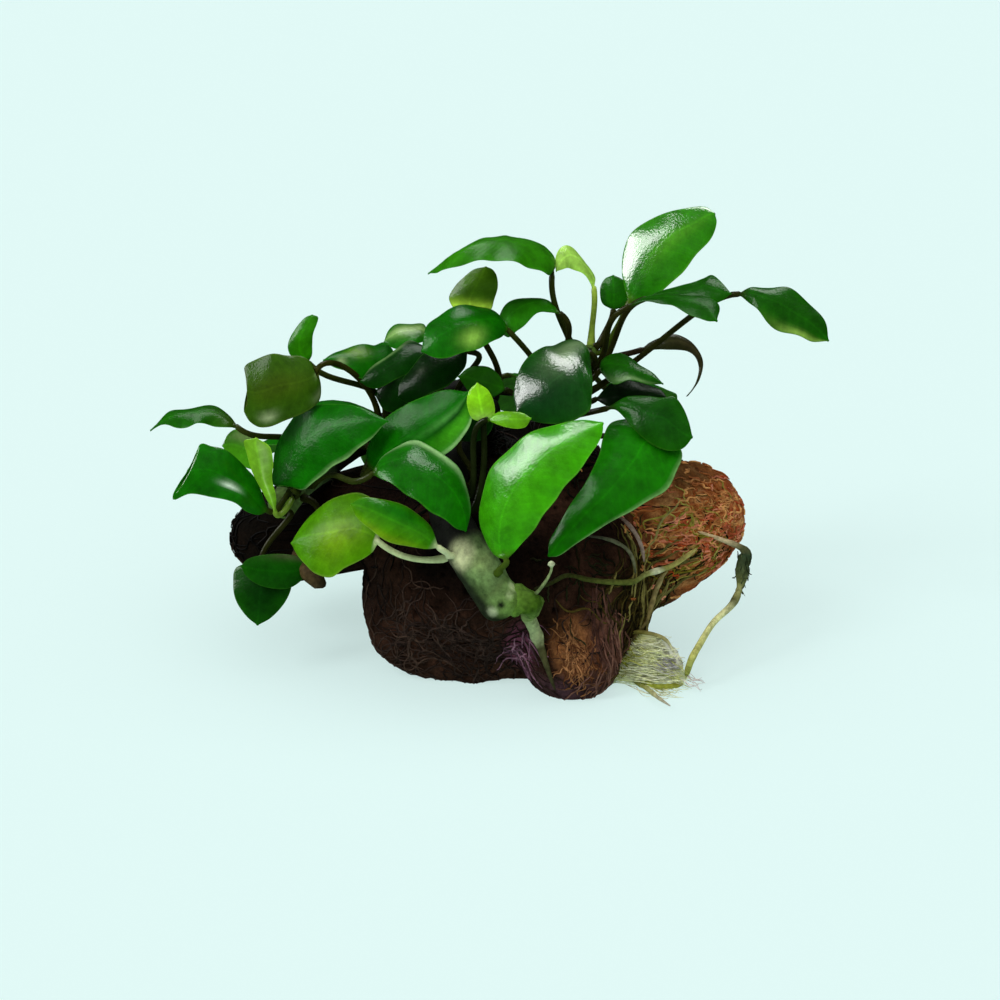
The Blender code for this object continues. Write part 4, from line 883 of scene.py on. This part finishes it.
def waxy_leaf():
    """Leaf skin under a clear wax: glossy above, with a paler midrib, side veins that bend towards the tip
    every few millimetres, and a fine cell pattern under the wax."""
    made, tree, shader = new_material("waxy leaf")
    where = add(tree, "TexCoord").outputs["Object"]
    skin = add(tree, "Attribute", attribute_name="tint")
    tint = skin.outputs["Color"]
    place = add(tree, "SeparateXYZ", {"Vector": add(tree, "UVMap", uv_map="along_across").outputs["UV"]})
    aside = add(tree, "Math", {0: place.outputs["Y"]}, operation="ABSOLUTE").outputs[0]
    lean = add(tree, "Math", {0: aside, 1: -VEIN_LEAN, 2: place.outputs["X"]}, operation="MULTIPLY_ADD")
    wander = add(tree, "TexNoise", {"Vector": where, "Scale": 1 / (7 * MM), "Detail": 2})
    bent = add(tree, "Math", {0: wander.outputs["Fac"], 1: 2.4, 2: lean.outputs[0]}, operation="MULTIPLY_ADD")
    turns = add(tree, "Math", {0: bent.outputs[0], 1: 2 * pi / VEIN_SPACING}, operation="MULTIPLY")
    wave = add(tree, "Math", {0: turns.outputs[0]}, operation="COSINE").outputs[0]
    side_vein = add(tree, "MapRange", {"Value": wave, "From Min": 0.55, "From Max": 1.0,
                                       "To Min": 1.0, "To Max": 1.07}, interpolation_type="SMOOTHSTEP")
    midrib = add(tree, "MapRange", {"Value": aside, "From Min": 0.1, "From Max": 0.45,
                                    "To Min": 1.22, "To Max": 1.0}, interpolation_type="SMOOTHSTEP")
    cloudy = add(tree, "TexNoise", {"Vector": where, "Scale": 1 / (4 * MM), "Detail": 6, "Roughness": 0.65})
    shade = add(tree, "MapRange", {"Value": cloudy.outputs["Fac"], "From Min": 0.3, "From Max": 0.7,
                                   "To Min": 0.68, "To Max": 1.32})
    veined = add(tree, "Math", {0: side_vein.outputs[0], 1: midrib.outputs[0]}, operation="MULTIPLY")
    both = add(tree, "Math", {0: veined.outputs[0], 1: shade.outputs[0]}, operation="MULTIPLY")
    mixed = add(tree, "VectorMath", {0: tint, "Scale": both.outputs[0]}, operation="SCALE")
    cell = add(tree, "TexNoise", {"Vector": where, "Scale": 1 / (0.6 * MM), "Detail": 2})
    ripple = add(tree, "Math", {0: wave, 1: -0.07, 2: cell.outputs["Fac"]}, operation="MULTIPLY_ADD")
    bump = add(tree, "Bump", {"Height": ripple.outputs[0], "Distance": 0.13 * MM, "Strength": 0.6})
    tree.links.new(mixed.outputs[0], shader.inputs["Base Color"])
    tree.links.new(bump.outputs["Normal"], shader.inputs["Normal"])
    tree.links.new(bump.outputs["Normal"], shader.inputs["Coat Normal"])
    shader.inputs["Roughness"].default_value = 0.35
    shader.inputs["Specular IOR Level"].default_value = 0.02
    tree.links.new(skin.outputs["Alpha"], shader.inputs["Coat Weight"])
    shader.inputs["Coat IOR"].default_value = 1.55
    shader.inputs["Coat Roughness"].default_value = 0.16
    return made


leaf_skin = waxy_leaf()

# Places round a leaf's section: from its left rim, -1, over the top to the right one, 1, and back below.
ACROSS = np.sin(np.linspace(-1, 1, HALF_RING) * pi / 2)
RING = np.concatenate([ACROSS, ACROSS[-2:0:-1]])
TOP = np.concatenate([np.ones(HALF_RING), -np.ones(HALF_RING - 2)])
OUT = np.abs(RING)


def leaf_rings(name, base, tip, faces, arch, rhizome, along):
    """A leaf's middle line from the rhizome to the tip and, at each of its points, the ways aside and up,
    half the width, how far it is past the blade's base, and what share of the blade is behind it."""
    shares = np.linspace(0, 1, BLADE_FINE) ** RING_CROWDING
    middle, side, upper, half = blade_frames(name, base, tip, faces, arch, shares)
    stalk = stalk_line(rhizome, along, middle[0], unit(middle[AHEAD_RING] - middle[0]))
    rings = len(stalk)
    steps = unit(np.diff(np.vstack([stalk, middle[:1]]), axis=0))
    turned = [upper[0]]
    for step in steps[::-1]:
        turned.append(unit(turned[-1] - step * (turned[-1] @ step)))
    upper = np.vstack([turned[:0:-1], upper])
    side = np.vstack([np.cross(steps, upper[:rings]), side])
    spine = np.vstack([stalk, middle])
    length = lengths_along(spine)
    foot = np.clip(1 - np.arange(rings) / (rings * SHEATH_SHARE), 0, 1) ** 2
    stem = STALK_THICK / 2 * (1 + (SHEATH - 1) * foot)
    half = np.maximum(half, TIP_WIDTH / 2)
    half = np.maximum(half, STALK_THICK / 2 * np.exp(-shares * NECK))
    half = np.concatenate([stem, half])[:, None]
    inner = np.concatenate([np.zeros(rings), shares])[:, None]
    return spine, side, upper, half, (length - length[rings])[:, None], inner


def leaf_tint(name, colour, inner):
    """The colour at each point of a leaf: its two sides, the marks, some of them painted highlights and
    painted shade, the rim, and the stalk's colour that gives way to the blade's. The fourth channel is the
    share of wax."""
    above, below, stalk = [np.array(linear(code)) for code in LEAF_COLOURS[colour]]
    if name in STALK_COLOURS:
        stalk = np.array(linear(STALK_COLOURS[name]))
    shown = np.broadcast_to(np.where(TOP[:, None] > 0, above, below), (len(inner), len(RING), 4))
    for share, place, far, wide, strong, code in MARKS.get(name, ()):
        near = strong * np.exp(-(((inner - share) / far) ** 2) - ((RING - place) / wide) ** 2) * (TOP > 0)
        shown = shown + near[..., None] * (np.array(linear(code)) - shown)
    rim = RIM * np.clip(OUT * RIM_EDGE - (RIM_EDGE - 1), 0, 1) * np.clip(inner * 4, 0, 1)
    shown = shown + rim[..., None] * (below * RIM_LIGHT - shown)
    shown = shown + np.clip(1 - inner * GREENS, 0, 1)[..., None] * (stalk - shown)
    wax = WAX.get(name, WAX_USUAL)
    shown[..., 3] = WAX_STALK + (wax - WAX_STALK) * np.clip(inner * GREENS - 0.5, 0, 1)
    return shown


def make_leaf(name, base, tip, faces, arch, rhizome, along, colour):
    """One leaf: rings carried along its stalk, round, and on along its blade, flat. Across the blade the
    upper side hollows at the midrib and swells between the side veins, and the rims rise and fall in slow
    waves."""
    spine, side, upper, half, length, inner = leaf_rings(name, base, tip, faces, arch, rhizome, along)
    lens = np.sqrt(np.clip(1 - RING**2, 0, 1)) * TOP
    round_share = np.clip(1 - inner * FLATTENS, 0, 1)
    flat = 1 - round_share
    thick = BLADE_THICK / 2 * (1 - 0.5 * inner) * flat + half * round_share * STALK_FLAT
    droop = half * sin(BLADE_DROOP) * flat
    midrib = MIDRIB_DEPTH * np.exp(-((RING * half / MIDRIB_WIDTH) ** 2)) * (1 - inner)
    veins = (length - VEIN_LEAN * OUT * half) * 2 * pi / VEIN_SPACING
    swell = -VEIN_SWELL * np.cos(veins) * (1 - OUT**3) * np.clip(OUT * 4, 0, 1)
    turn = scatter(np.array(base, float), 1) * 2 * pi
    wave = WAVE_HEIGHT * OUT**2 * np.sin(length * 2 * pi / WAVE_LENGTH + np.sign(RING) * RIMS_APART + turn)
    waving = WAVY.get(name, 1) * np.clip(inner * 5, 0, 1) * np.clip(half / 3, 0, 1)
    upwards = thick * lens - droop * OUT**1.5 + flat * (swell - midrib + wave * waving)
    points = spine[:, None] + (half * RING)[..., None] * side[:, None] + upwards[..., None] * upper[:, None]
    aside = half * RING * flat + STALK_THICK * round_share
    places = np.stack([np.broadcast_to(length, aside.shape), aside], axis=-1)
    piece = make_piece(name + "_leaf", points.reshape(-1, 3), tube_faces(1, len(spine), len(RING)),
                       leaf_skin, leaf_tint(name, colour, inner).reshape(-1, 4), places.reshape(-1, 2))
    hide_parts("leaf_" + name)


for leaf in LEAVES:
    make_leaf(*leaf)


# ---------------------------------------------------------------------------------------------------
# The roots: smooth and springy, dark where they leave the rhizome and the stone, pale green-tan along
# their length, thinning to a point. They grip the stone, and two run down to the ground.
# ---------------------------------------------------------------------------------------------------

ROOTS = {
    # name: (thickness at the start, at the end, how many of its points cling to the stone, points)
    "root_front": (3.0, 2.0, 8, ((7, -36, 24), (9, -36, 18), (11, -34, 12), (13, -31, 6))),
    "root_right": (1.5, 1.1, 5, ((16, -28, 33), (24, -26, 30), (31, -20, 28), (38, -15, 28), (44, -12, 30),
                                 (49, -10, 33))),
    "root_right_low": (1.2, 1.0, 8, ((33, -15, 17), (38, -14, 20), (43, -13, 23), (48, -12, 26))),
    "root_hanging": (3.0, 1.2, 0, ((61, -5, 30.5), (60.5, -7, 27), (60, -9, 23), (58, -12, 19),
                                   (53, -16, 15.5), (49.5, -20, 11.5), (47, -24, 8.5), (46, -18.5, 1))),
    "root_ground": (1.4, 1.0, 1, ((28, -16.5, 1.5), (33.5, -19.5, 1.5), (39.5, -24, 1.5),
                                  (45.5, -22, 1.5))),
    "root_tip": (1.2, 0.9, 1, ((32.5, -20, 1.5), (36, -24.5, 1.5), (38.5, -30, 1.5), (41.5, -35.5, 1.5))),
    "root_drop": (1.2, 0.9, 8, ((31, -13, 42), (34.5, -14, 40), (36.5, -15, 35.5), (37, -15.5, 31))),
    "root_side": (1.2, 0.9, 8, ((25.5, -20, 39.5), (29, -19, 38), (32, -18, 35), (32.5, -18, 29.5))),
}
ROOT_POINTS = 8
ROOT_GAP, START_GAP = 1.3, 0.3         # clear between the stone and a root, and where a root starts
ROOT_RINGS, ROOT_ROUND = 60, 12
ROOT_WAVER, WAVER_WIDTH = 0.16, 2.0    # how much its thickness wavers, and over what length
ROOT_POINT = 0.05                      # radius of its closed ends
ROOT_STARTS = {
    # the root's way before the part above, and how many of its points cling to the stone
    "root_front": (((8.5, -39, 31), (8, -37.5, 28)), 0),
    "root_right": (((8, -38, 33), (12, -34, 33)), 0),
    "root_right_low": (((28, -16, 13),), 1),
    "root_hanging": (((51, -9, 37), (56, -6, 34)), 2),
    "root_ground": (((22, -16, 4),), 1),
    "root_tip": (((28, -17, 3),), 1),
    "root_drop": (((28, -12, 45),), 1),
    "root_side": (((21, -20, 40),), 1),
}
ROOT_LOOKS = {
    # share of the way, thickness there, colour there
    "root_front": ((0, 4.4, "4E6A28"), (0.2, 3.6, "6E8448"), (0.35, 3.3, "93A270"), (0.6, 3.0, "9CA878"),
                   (0.68, 2.0, "4A4A2C"), (1, 0.4, "2A2818")),
    "root_right": ((0, 0.8, "20240E"), (0.3, 1.2, "3A4018"), (0.55, 1.4, "5E662C"), (0.68, 1.3, "8A8C50"),
                   (0.72, 1.9, "D6D8B4"), (0.76, 1.3, "8E8A48"), (0.93, 1.4, "A89C58"), (1, 0.5, "A89C58")),
    "root_right_low": ((0, 0.5, "4A4224"), (0.3, 1.2, "7E7044"), (0.8, 1.3, "9A8C5C"), (1, 0.4, "8E8050")),
    "root_hanging": ((0, 0.5, "C9A87C"), (0.14, 1.3, "C4B088"), (0.2, 1.6, "5A5C3A"), (0.27, 3.2, "30402A"),
                     (0.38, 3.5, "4A5434"), (0.44, 2.1, "6A7040"), (0.48, 1.5, "A8A86C"),
                     (0.54, 2.2, "5A5A34"), (0.6, 1.5, "D0D098"), (0.8, 1.7, "BCBC70"),
                     (0.95, 1.6, "A0A24C"), (1, 0.5, "8E9038")),
    "root_ground": ((0, 0.6, "4A5220"), (0.3, 1.3, "6E7E24"), (0.6, 1.4, "8E9838"), (0.92, 1.3, "8E9038"),
                    (1, 0.5, "B9BA8A")),
    "root_tip": ((0, 0.5, "5E6428"), (0.4, 1.2, "94964E"), (0.8, 0.9, "AEA886"), (1, 0.3, "B8B2A0")),
    "root_drop": ((0, 0.4, "4A3A30"), (0.3, 1.1, "8E7668"), (0.8, 1.1, "A48E80"), (1, 0.4, "7E6A5C")),
    "root_side": ((0, 0.4, "3A3A30"), (0.3, 1.0, "5E6048"), (0.8, 1.0, "6E6E52"), (1, 0.4, "4A4A34")),
}


def root_skin():
    """Living root: a dull, faintly see-through skin, pale green-tan with darker stretches."""
    made, tree, shader = new_material("living root")
    where = add(tree, "TexCoord").outputs["Object"]
    tint = add(tree, "Attribute", attribute_name="tint").outputs["Color"]
    blotch = add(tree, "TexNoise", {"Vector": where, "Scale": 1 / (1.2 * MM), "Detail": 4})
    shade = add(tree, "MapRange", {"Value": blotch.outputs["Fac"], "From Min": 0.3, "From Max": 0.7,
                                   "To Min": 0.6, "To Max": 1.35})
    mixed = add(tree, "VectorMath", {0: tint, "Scale": shade.outputs["Result"]}, operation="SCALE")
    tree.links.new(mixed.outputs[0], shader.inputs["Base Color"])
    shader.inputs["Roughness"].default_value = 0.6
    shader.inputs["Specular IOR Level"].default_value = 0.03
    return made


living_root = root_skin()


def make_strand(name, path, looks):
    """A tube along the path that wavers in thickness and changes colour on its way, closed in two points."""
    fine = smooth_path(path, ROOT_RINGS)
    shares, sizes, codes = zip(*looks)
    along = np.linspace(0, 1, ROOT_RINGS)
    radii = np.interp(along, shares, sizes) / 2 * (1 + ROOT_WAVER * cloud(fine, WAVER_WIDTH))
    radii[[0, -1]] = ROOT_POINT
    fine[:, 2] = np.maximum(fine[:, 2], radii)
    points = tube(fine, np.repeat(radii[:, None], ROOT_ROUND, axis=1)).reshape(-1, 3)
    marks = np.array([linear(code) for code in codes])
    colours = np.stack([np.interp(along, shares, channel) for channel in marks.T], axis=-1)
    piece = make_piece(name, points, tube_faces(1, ROOT_RINGS, ROOT_ROUND), living_root,
                       np.repeat(colours, ROOT_ROUND, axis=0))
    return piece


def make_root(name):
    """A strand that follows the solid root, but begins before it inside what it grows from."""
    thick, thin, clinging, points = ROOTS[name]
    coarse = np.linspace(thick, thin, ROOT_POINTS) / 2
    path = clear_of_stone(smooth_path(points, ROOT_POINTS), coarse + ROOT_GAP, clinging)
    path[:, 2] = np.maximum(path[:, 2], coarse)
    before, held = ROOT_STARTS[name]
    path = np.vstack([clear_of_stone(before, START_GAP, held), path])
    piece = make_strand(name + "_skin", path, ROOT_LOOKS[name])
    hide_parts(name)


for root in ROOTS:
    make_root(root)

# Small strands without a solid: the swollen foot of the front root; a withered stub of an old stalk
# under the left leaves; a thin shoot with a pale bead at its tip; a root along the top of the tuft.
SMALL_STRANDS = {
    # name: points, looks as above
    "root_foot": (((-3, -37, 29), (2, -39, 30.8), (6.6, -40.5, 30.5), (8, -40, 27)),
                  ((0, 6.5, "6A8648"), (0.35, 7.6, "6E9046"), (0.5, 7.4, "56782A"), (0.75, 6.2, "365410"),
                   (1, 3.0, "5E7A3A"))),
    "withered_stub": (((-50, 2, 29), (-50.5, -10, 30.5), (-48, -15, 28.5), (-43, -17, 25.5)),
                      ((0, 2.0, "3A2C18"), (0.6, 3.2, "55452A"), (0.9, 3.6, "3E3220"), (1, 1.2, "2E2416"))),
    "beaded_shoot": (((7, -39, 31), (9.5, -41.5, 34.5), (12, -42, 39), (12.1, -42.3, 42)),
                     ((0, 1.0, "4E5E34"), (0.4, 0.8, "6E7E50"), (0.8, 0.7, "8A9A68"), (0.9, 1.9, "C8D4A8"),
                      (1, 0.6, "C8D4A8"))),
    "tuft_edge": (((27, -15, 9), (32, -17, 13), (37, -19, 13.8), (41, -20.5, 12.6), (43.3, -21, 9)),
                  ((0, 0.8, "4A4218"), (0.4, 1.1, "6E6830"), (0.75, 1.0, "A09A66"), (1, 0.3, "DCDCB8"))),
}
for strand, (way, looks) in SMALL_STRANDS.items():
    make_strand(strand, way, looks)


# ---------------------------------------------------------------------------------------------------
# The fine roots and fibres: threads as thin as a third of a millimetre that spread over the stone's skin,
# brown and swirling in front, salmon on the right knob, olive on the flank, and near black on top, where
# their colour is painted shade under the leaves.
# ---------------------------------------------------------------------------------------------------

FIBRES = (
    # how many, where they start, how far about, the way they go, how much they scatter, length, how much
    # they bend, thickness, darkest and lightest colour
    (170, (-12, -28, 11), (15, 6, 6), (0.5, 0, -0.4), 1.2, 16, 1.1, 0.42, "221814", "40312A"),
    (60, (-22, -20, 20), (6, 6, 12), (0, 0, -1), 0.8, 14, 1.0, 0.42, "261B16", "4A382E"),
    (210, (51, -5, 40), (9, 8, 9), (0, 0, -0.2), 1.4, 5, 2.0, 0.65, "90481E", "DCA060"),
    (110, (54, -6, 36), (7, 7, 7), (0, 0, -0.2), 1.4, 5, 2.0, 0.65, "A8441E", "EC9C78"),
    (45, (48, -10, 33), (7, 5, 5), (0.6, 0, 0.9), 0.6, 9, 1.0, 0.55, "7A6E1C", "C0B45C"),
    (130, (35, -13, 25), (7, 6, 7), (-0.5, -0.2, -1), 0.6, 13, 0.9, 0.5, "181408", "54481E"),
    (26, (36, -15, 22), (5, 4, 6), (0.7, 0, 1), 0.3, 12, 0.5, 0.7, "5A5426", "948A4E"),
    (110, (17.5, -30, 15), (2.4, 2, 3.2), (0.1, -0.2, -1), 0.6, 5, 1.0, 0.45, "54301C", "A8744A"),
    (50, (26, -24, 16), (3, 3, 7), (0, -0.2, -1), 0.3, 12, 0.6, 0.55, "3A241E", "7E584A"),
    (30, (4.5, -29, 12), (1.6, 2, 4), (0, -0.2, -1), 0.4, 8, 0.6, 0.5, "4E3240", "9A6E80"),
    (30, (22, -24, 33), (6, 3, 4), (0.6, 0, -0.6), 0.9, 6, 1.0, 0.5, "15140A", "2C2E18"),
    # near black on top of the stone: painted shade under the leaves
    (220, (0, 6, 56), (18, 14, 4), (0, 0, 0), 1.5, 13, 1.3, 0.55, "040602", "12180A"),
    (200, (0, 30, 30), (28, 10, 16), (0, 0, -0.6), 1.2, 16, 1.2, 0.55, "17100E", "42332A"),
    (50, (-54, 8, 30), (8, 8, 8), (0, 0, -0.5), 1.2, 12, 1.2, 0.55, "040403", "14100C"),
)
FIBRE_RINGS, FIBRE_SIDES = 17, 4
FIBRE_RISE = 0.35                      # how far a fibre's middle stands off the skin, in its thicknesses
FIBRE_WAY = 6                          # what the phase of its bends gains along it, in radians
THREAD_END = 0.06                      # the share of a sine's half wave that a thread's taper leaves off
THREAD_TAPER = 0.6                     # the power of that sine: below 1, so a thread stays thick for long
THREAD_LOW = 0.02                      # the lowest a thread's skin may lie
lots = np.random.default_rng(11)


def crawling(count, start, about, going, scattered, length, bend, thick):
    """Lines over the stone's skin: each starts near a place, heads off in its own way and bends to and
    fro as a sine of how far it has come, held to the skin at every step."""
    way = unit(np.array(start) + lots.normal(0, 1, (count, 3)) * about - STONE_HEART)
    heading = np.array(going) + lots.normal(0, scattered, (count, 3))
    lengths = length * lots.uniform(0.5, 1.3, (count, 1))
    phase, pace = lots.uniform(0, 2 * pi, (count, 1)), lots.uniform(0.6, 1.6, (count, 1))
    far = np.linalg.norm(np.array(start) - STONE_HEART)
    ways = [way]
    for ring in range(1, FIBRE_RINGS):
        heading = unit(heading - way * (heading * way).sum(-1, keepdims=True))
        turn = bend * FIBRE_WAY / FIBRE_RINGS * np.sin(phase + pace * ring * FIBRE_WAY / FIBRE_RINGS * 2)
        heading = heading * np.cos(turn) + np.cross(way, heading) * np.sin(turn)
        way = unit(way + heading * lengths / FIBRE_RINGS / far)
        ways.append(way)
    ways = np.stack(ways, axis=1)
    return stone_skin(ways, pitted=False)[0] + ways * thick * FIBRE_RISE


def make_threads(name, groups):
    """One mesh of many threads, from groups of lines with a thickness and two colours. Each thread thins to
    both ends as a power of a sine, and has its own shade between its group's colours."""
    lines, thick, darkest, lightest = zip(*groups)
    counts = [len(group) for group in lines]
    paths = np.concatenate(lines)
    count, rings = paths.shape[:2]
    taper = np.sin(pi * (THREAD_END + (1 - 2 * THREAD_END) * np.linspace(0, 1, rings))) ** THREAD_TAPER
    sizes = np.repeat(thick, counts)[:, None] / 2 * taper * lots.uniform(0.6, 1.2, (count, 1))
    points = tube(paths, np.repeat(sizes[..., None], FIBRE_SIDES, axis=-1)).reshape(-1, 3)
    points[:, 2] = np.maximum(points[:, 2], THREAD_LOW)
    light = lots.uniform(0, 1, (count, 1, 1)) ** 1.5
    dark, pale = [np.repeat([linear(code) for code in codes], counts, axis=0)[:, None]
                  for codes in (darkest, lightest)]
    colours = np.broadcast_to(dark * (1 - light) + pale * light, (count, rings * FIBRE_SIDES, 4))
    piece = make_piece(name, points, tube_faces(count, rings, FIBRE_SIDES), living_root,
                       colours.reshape(-1, 4))


make_threads("fine_roots", [(crawling(*course, thick), thick, dark, light)
                            for *course, thick, dark, light in FIBRES])


# ---------------------------------------------------------------------------------------------------
# The tuft on the ground: pale yellow root hairs, so fine that together they look like a veil. They
# fan out from the stone's right edge between the thick roots that lie on the ground and hang there.
# ---------------------------------------------------------------------------------------------------

TUFT = (
    # how many, start and end of the edge they leave, start and end of the edge they reach, sag, thickness,
    # darkest and lightest colour
    (150, (26, -20, 2.0), (32, -16, 11.5), (46.5, -22, 1.5), (43, -21, 10.5), 0.6, 0.24, "D4DA94", "F8FADC"),
    (220, (26, -20, 1.5), (32, -16, 12), (46.5, -22, 1.5), (41, -20, 13), 0.8, 0.16, "DCE2A6", "FBFBE6"),
    (60, (31, -17, 9), (34, -17, 12.5), (46, -23, 1.5), (45, -22, 6), 0.4, 0.22, "C0C468", "ECEEB4"),
    (50, (25, -19, 1.5), (32, -16, 13), (31, -21, 2.0), (36, -19, 10), 0.4, 0.35, "8A8E30", "C4C468"),
    (36, (38, -22, 6), (41, -21, 10), (45, -22, 5), (44, -21, 9), 0.3, 0.22, "A09CA0", "C8C4C0"),
    (14, (30, -20, 1.2), (40, -24, 1.2), (39, -30, 1.0), (46, -27, 1.0), 0.3, 0.25, "C4C48E", "E8E8CC"),
    (8, (45.8, -23, 3), (45.3, -22, 4), (50, -24, 1.5), (51, -25, 2.5), 0.3, 0.22, "C8BCB8", "E8E0D8"),
    (60, (60.8, -5, 30.5), (60.2, -8, 25), (61.8, -7, 26), (59.5, -10, 20), 0.0, 0.4, "202A18", "5A6440"),
)
TUFT_RINGS = 12
TUFT_WAVER = 0.8                       # how far a hair wavers at its far end
TUFT_STRAY = (0.6, 0.96, 0.3)          # how far whole hairs stray each way
SHARE_STRAY = 0.12                     # how far its share of the second edge strays from that of the first
HAIR_LOW = 0.3                         # the lowest a hair may run


def fanned(count, from_low, from_high, to_low, to_high, sag):
    """Lines from one edge to another, each from its own share of the first to nearly the same share of the
    second, sagging and wavering a little on the way."""
    share = lots.uniform(0, 1, (count, 1))
    other = np.clip(share + lots.normal(0, SHARE_STRAY, (count, 1)), 0, 1)
    starts = np.array(from_low) + share * (np.array(from_high) - from_low)
    ends = np.array(to_low) + other * (np.array(to_high) - to_low)
    ends = starts + (ends - starts) * lots.uniform(0.7, 1.06, (count, 1))
    t = np.linspace(0, 1, TUFT_RINGS)[None, :, None]
    lines = starts[:, None] * (1 - t) + ends[:, None] * t
    waver = TUFT_WAVER * t * np.sin(t * lots.uniform(3, 9, (count, 1, 3)) + lots.uniform(0, 6, (count, 1, 3)))
    lines = lines + waver - sag * 4 * t * (1 - t) * np.array([0, 0, 1])
    lines = lines + lots.normal(0, 1, (count, 1, 3)) * TUFT_STRAY
    lines[..., 2] = np.maximum(lines[..., 2], HAIR_LOW)
    return lines


make_threads("root_tuft", [(fanned(*course), thick, dark, light) for *course, thick, dark, light in TUFT])


# ---------------------------------------------------------------------------------------------------
# The veil: the tuft's finest hairs, matted into a thin sheet that wrinkles as it goes out from the
# stone. It shows through a little, and the single hairs lie on it.
# ---------------------------------------------------------------------------------------------------

VEIL_ROWS = (
    # lower and upper edge of the veil on its way out from the stone, colour
    ((24, -20, 1.5), (31, -14, 11.5), "C0C452"), ((30, -20, 1.5), (35, -16, 12.5), "EAEE98"),
    ((36, -20, 1.5), (39, -18, 12.5), "FAFACC"), ((42, -21, 1.5), (42, -20, 11.5), "E4E2D4"),
    ((46, -21.5, 2.0), (45, -21, 7.5), "F6F8D4"),
)
VEIL_RINGS, VEIL_ROUND = 40, 48
VEIL_THICK, VEIL_CLEAR = 0.3, 0.8      # its thickness, and how much it hides (1 hides all)
VEIL_LOW = 0.2                         # the lowest it may lie
VEIL_RAGS = (0.08, 23, 9)              # how much its width varies, and the pace of the two waves of that
VEIL_WRINKLES = (0.7, 14, 5)           # their height, their pace on the way out, and how they lean
VEIL_STREAKS = np.array([[0.25, 0, 0.9], [0, 0.5, 0], [-0.3, 0, 1.5]])   # narrow, long and aslant
STREAK_STRENGTH, STREAK_WIDTH = 0.25, 1.5


def matted_hair():
    """Root hairs too fine to tell apart: dull and pale, and a little of what is behind shows through."""
    made, tree, shader = new_material("matted root hair")
    tint = add(tree, "Attribute", attribute_name="tint").outputs["Color"]
    tree.links.new(tint, shader.inputs["Base Color"])
    shader.inputs["Roughness"].default_value = 0.6
    shader.inputs["Alpha"].default_value = VEIL_CLEAR
    return made


def make_veil():
    """A thin sheet: flat oval rings from its lower edge to its upper one, each moved to and fro across the
    sheet by a sine of the way out, and shaded by long slanting streaks."""
    low, high, codes = zip(*VEIL_ROWS)
    low, high = smooth_path(low, VEIL_RINGS), smooth_path(high, VEIL_RINGS)
    way = np.linspace(0, 1, VEIL_RINGS)
    turns = np.arange(VEIL_ROUND) / VEIL_ROUND * 2 * pi
    rags, quick, slow = VEIL_RAGS
    ragged = 1 + rags * np.sin(way * quick) * np.sin(way * slow)
    middle, reach = (low + high) / 2, (high - low) / 2 * ragged[:, None]
    facing = unit(np.cross(np.gradient(middle, axis=0), reach))
    height, pace, lean = VEIL_WRINKLES
    wrinkle = height * np.sin(way[:, None] * pace + lean * np.cos(turns))
    points = middle[:, None] + np.cos(turns)[:, None] * reach[:, None]
    points = points + (np.sin(turns) * VEIL_THICK / 2 + wrinkle)[..., None] * facing[:, None]
    points[..., 2] = np.maximum(points[..., 2], VEIL_LOW)
    marks = np.array([linear(code) for code in codes])
    shade = np.stack([np.interp(way, np.linspace(0, 1, len(marks)), channel) for channel in marks.T], axis=-1)
    streaks = 1 + STREAK_STRENGTH * cloud(points @ VEIL_STREAKS, STREAK_WIDTH)
    shade = shade[:, None] * streaks[..., None]
    veil = make_piece("root_veil", points.reshape(-1, 3), tube_faces(1, VEIL_RINGS, VEIL_ROUND),
                      matted_hair(), shade.reshape(-1, 4))


make_veil()
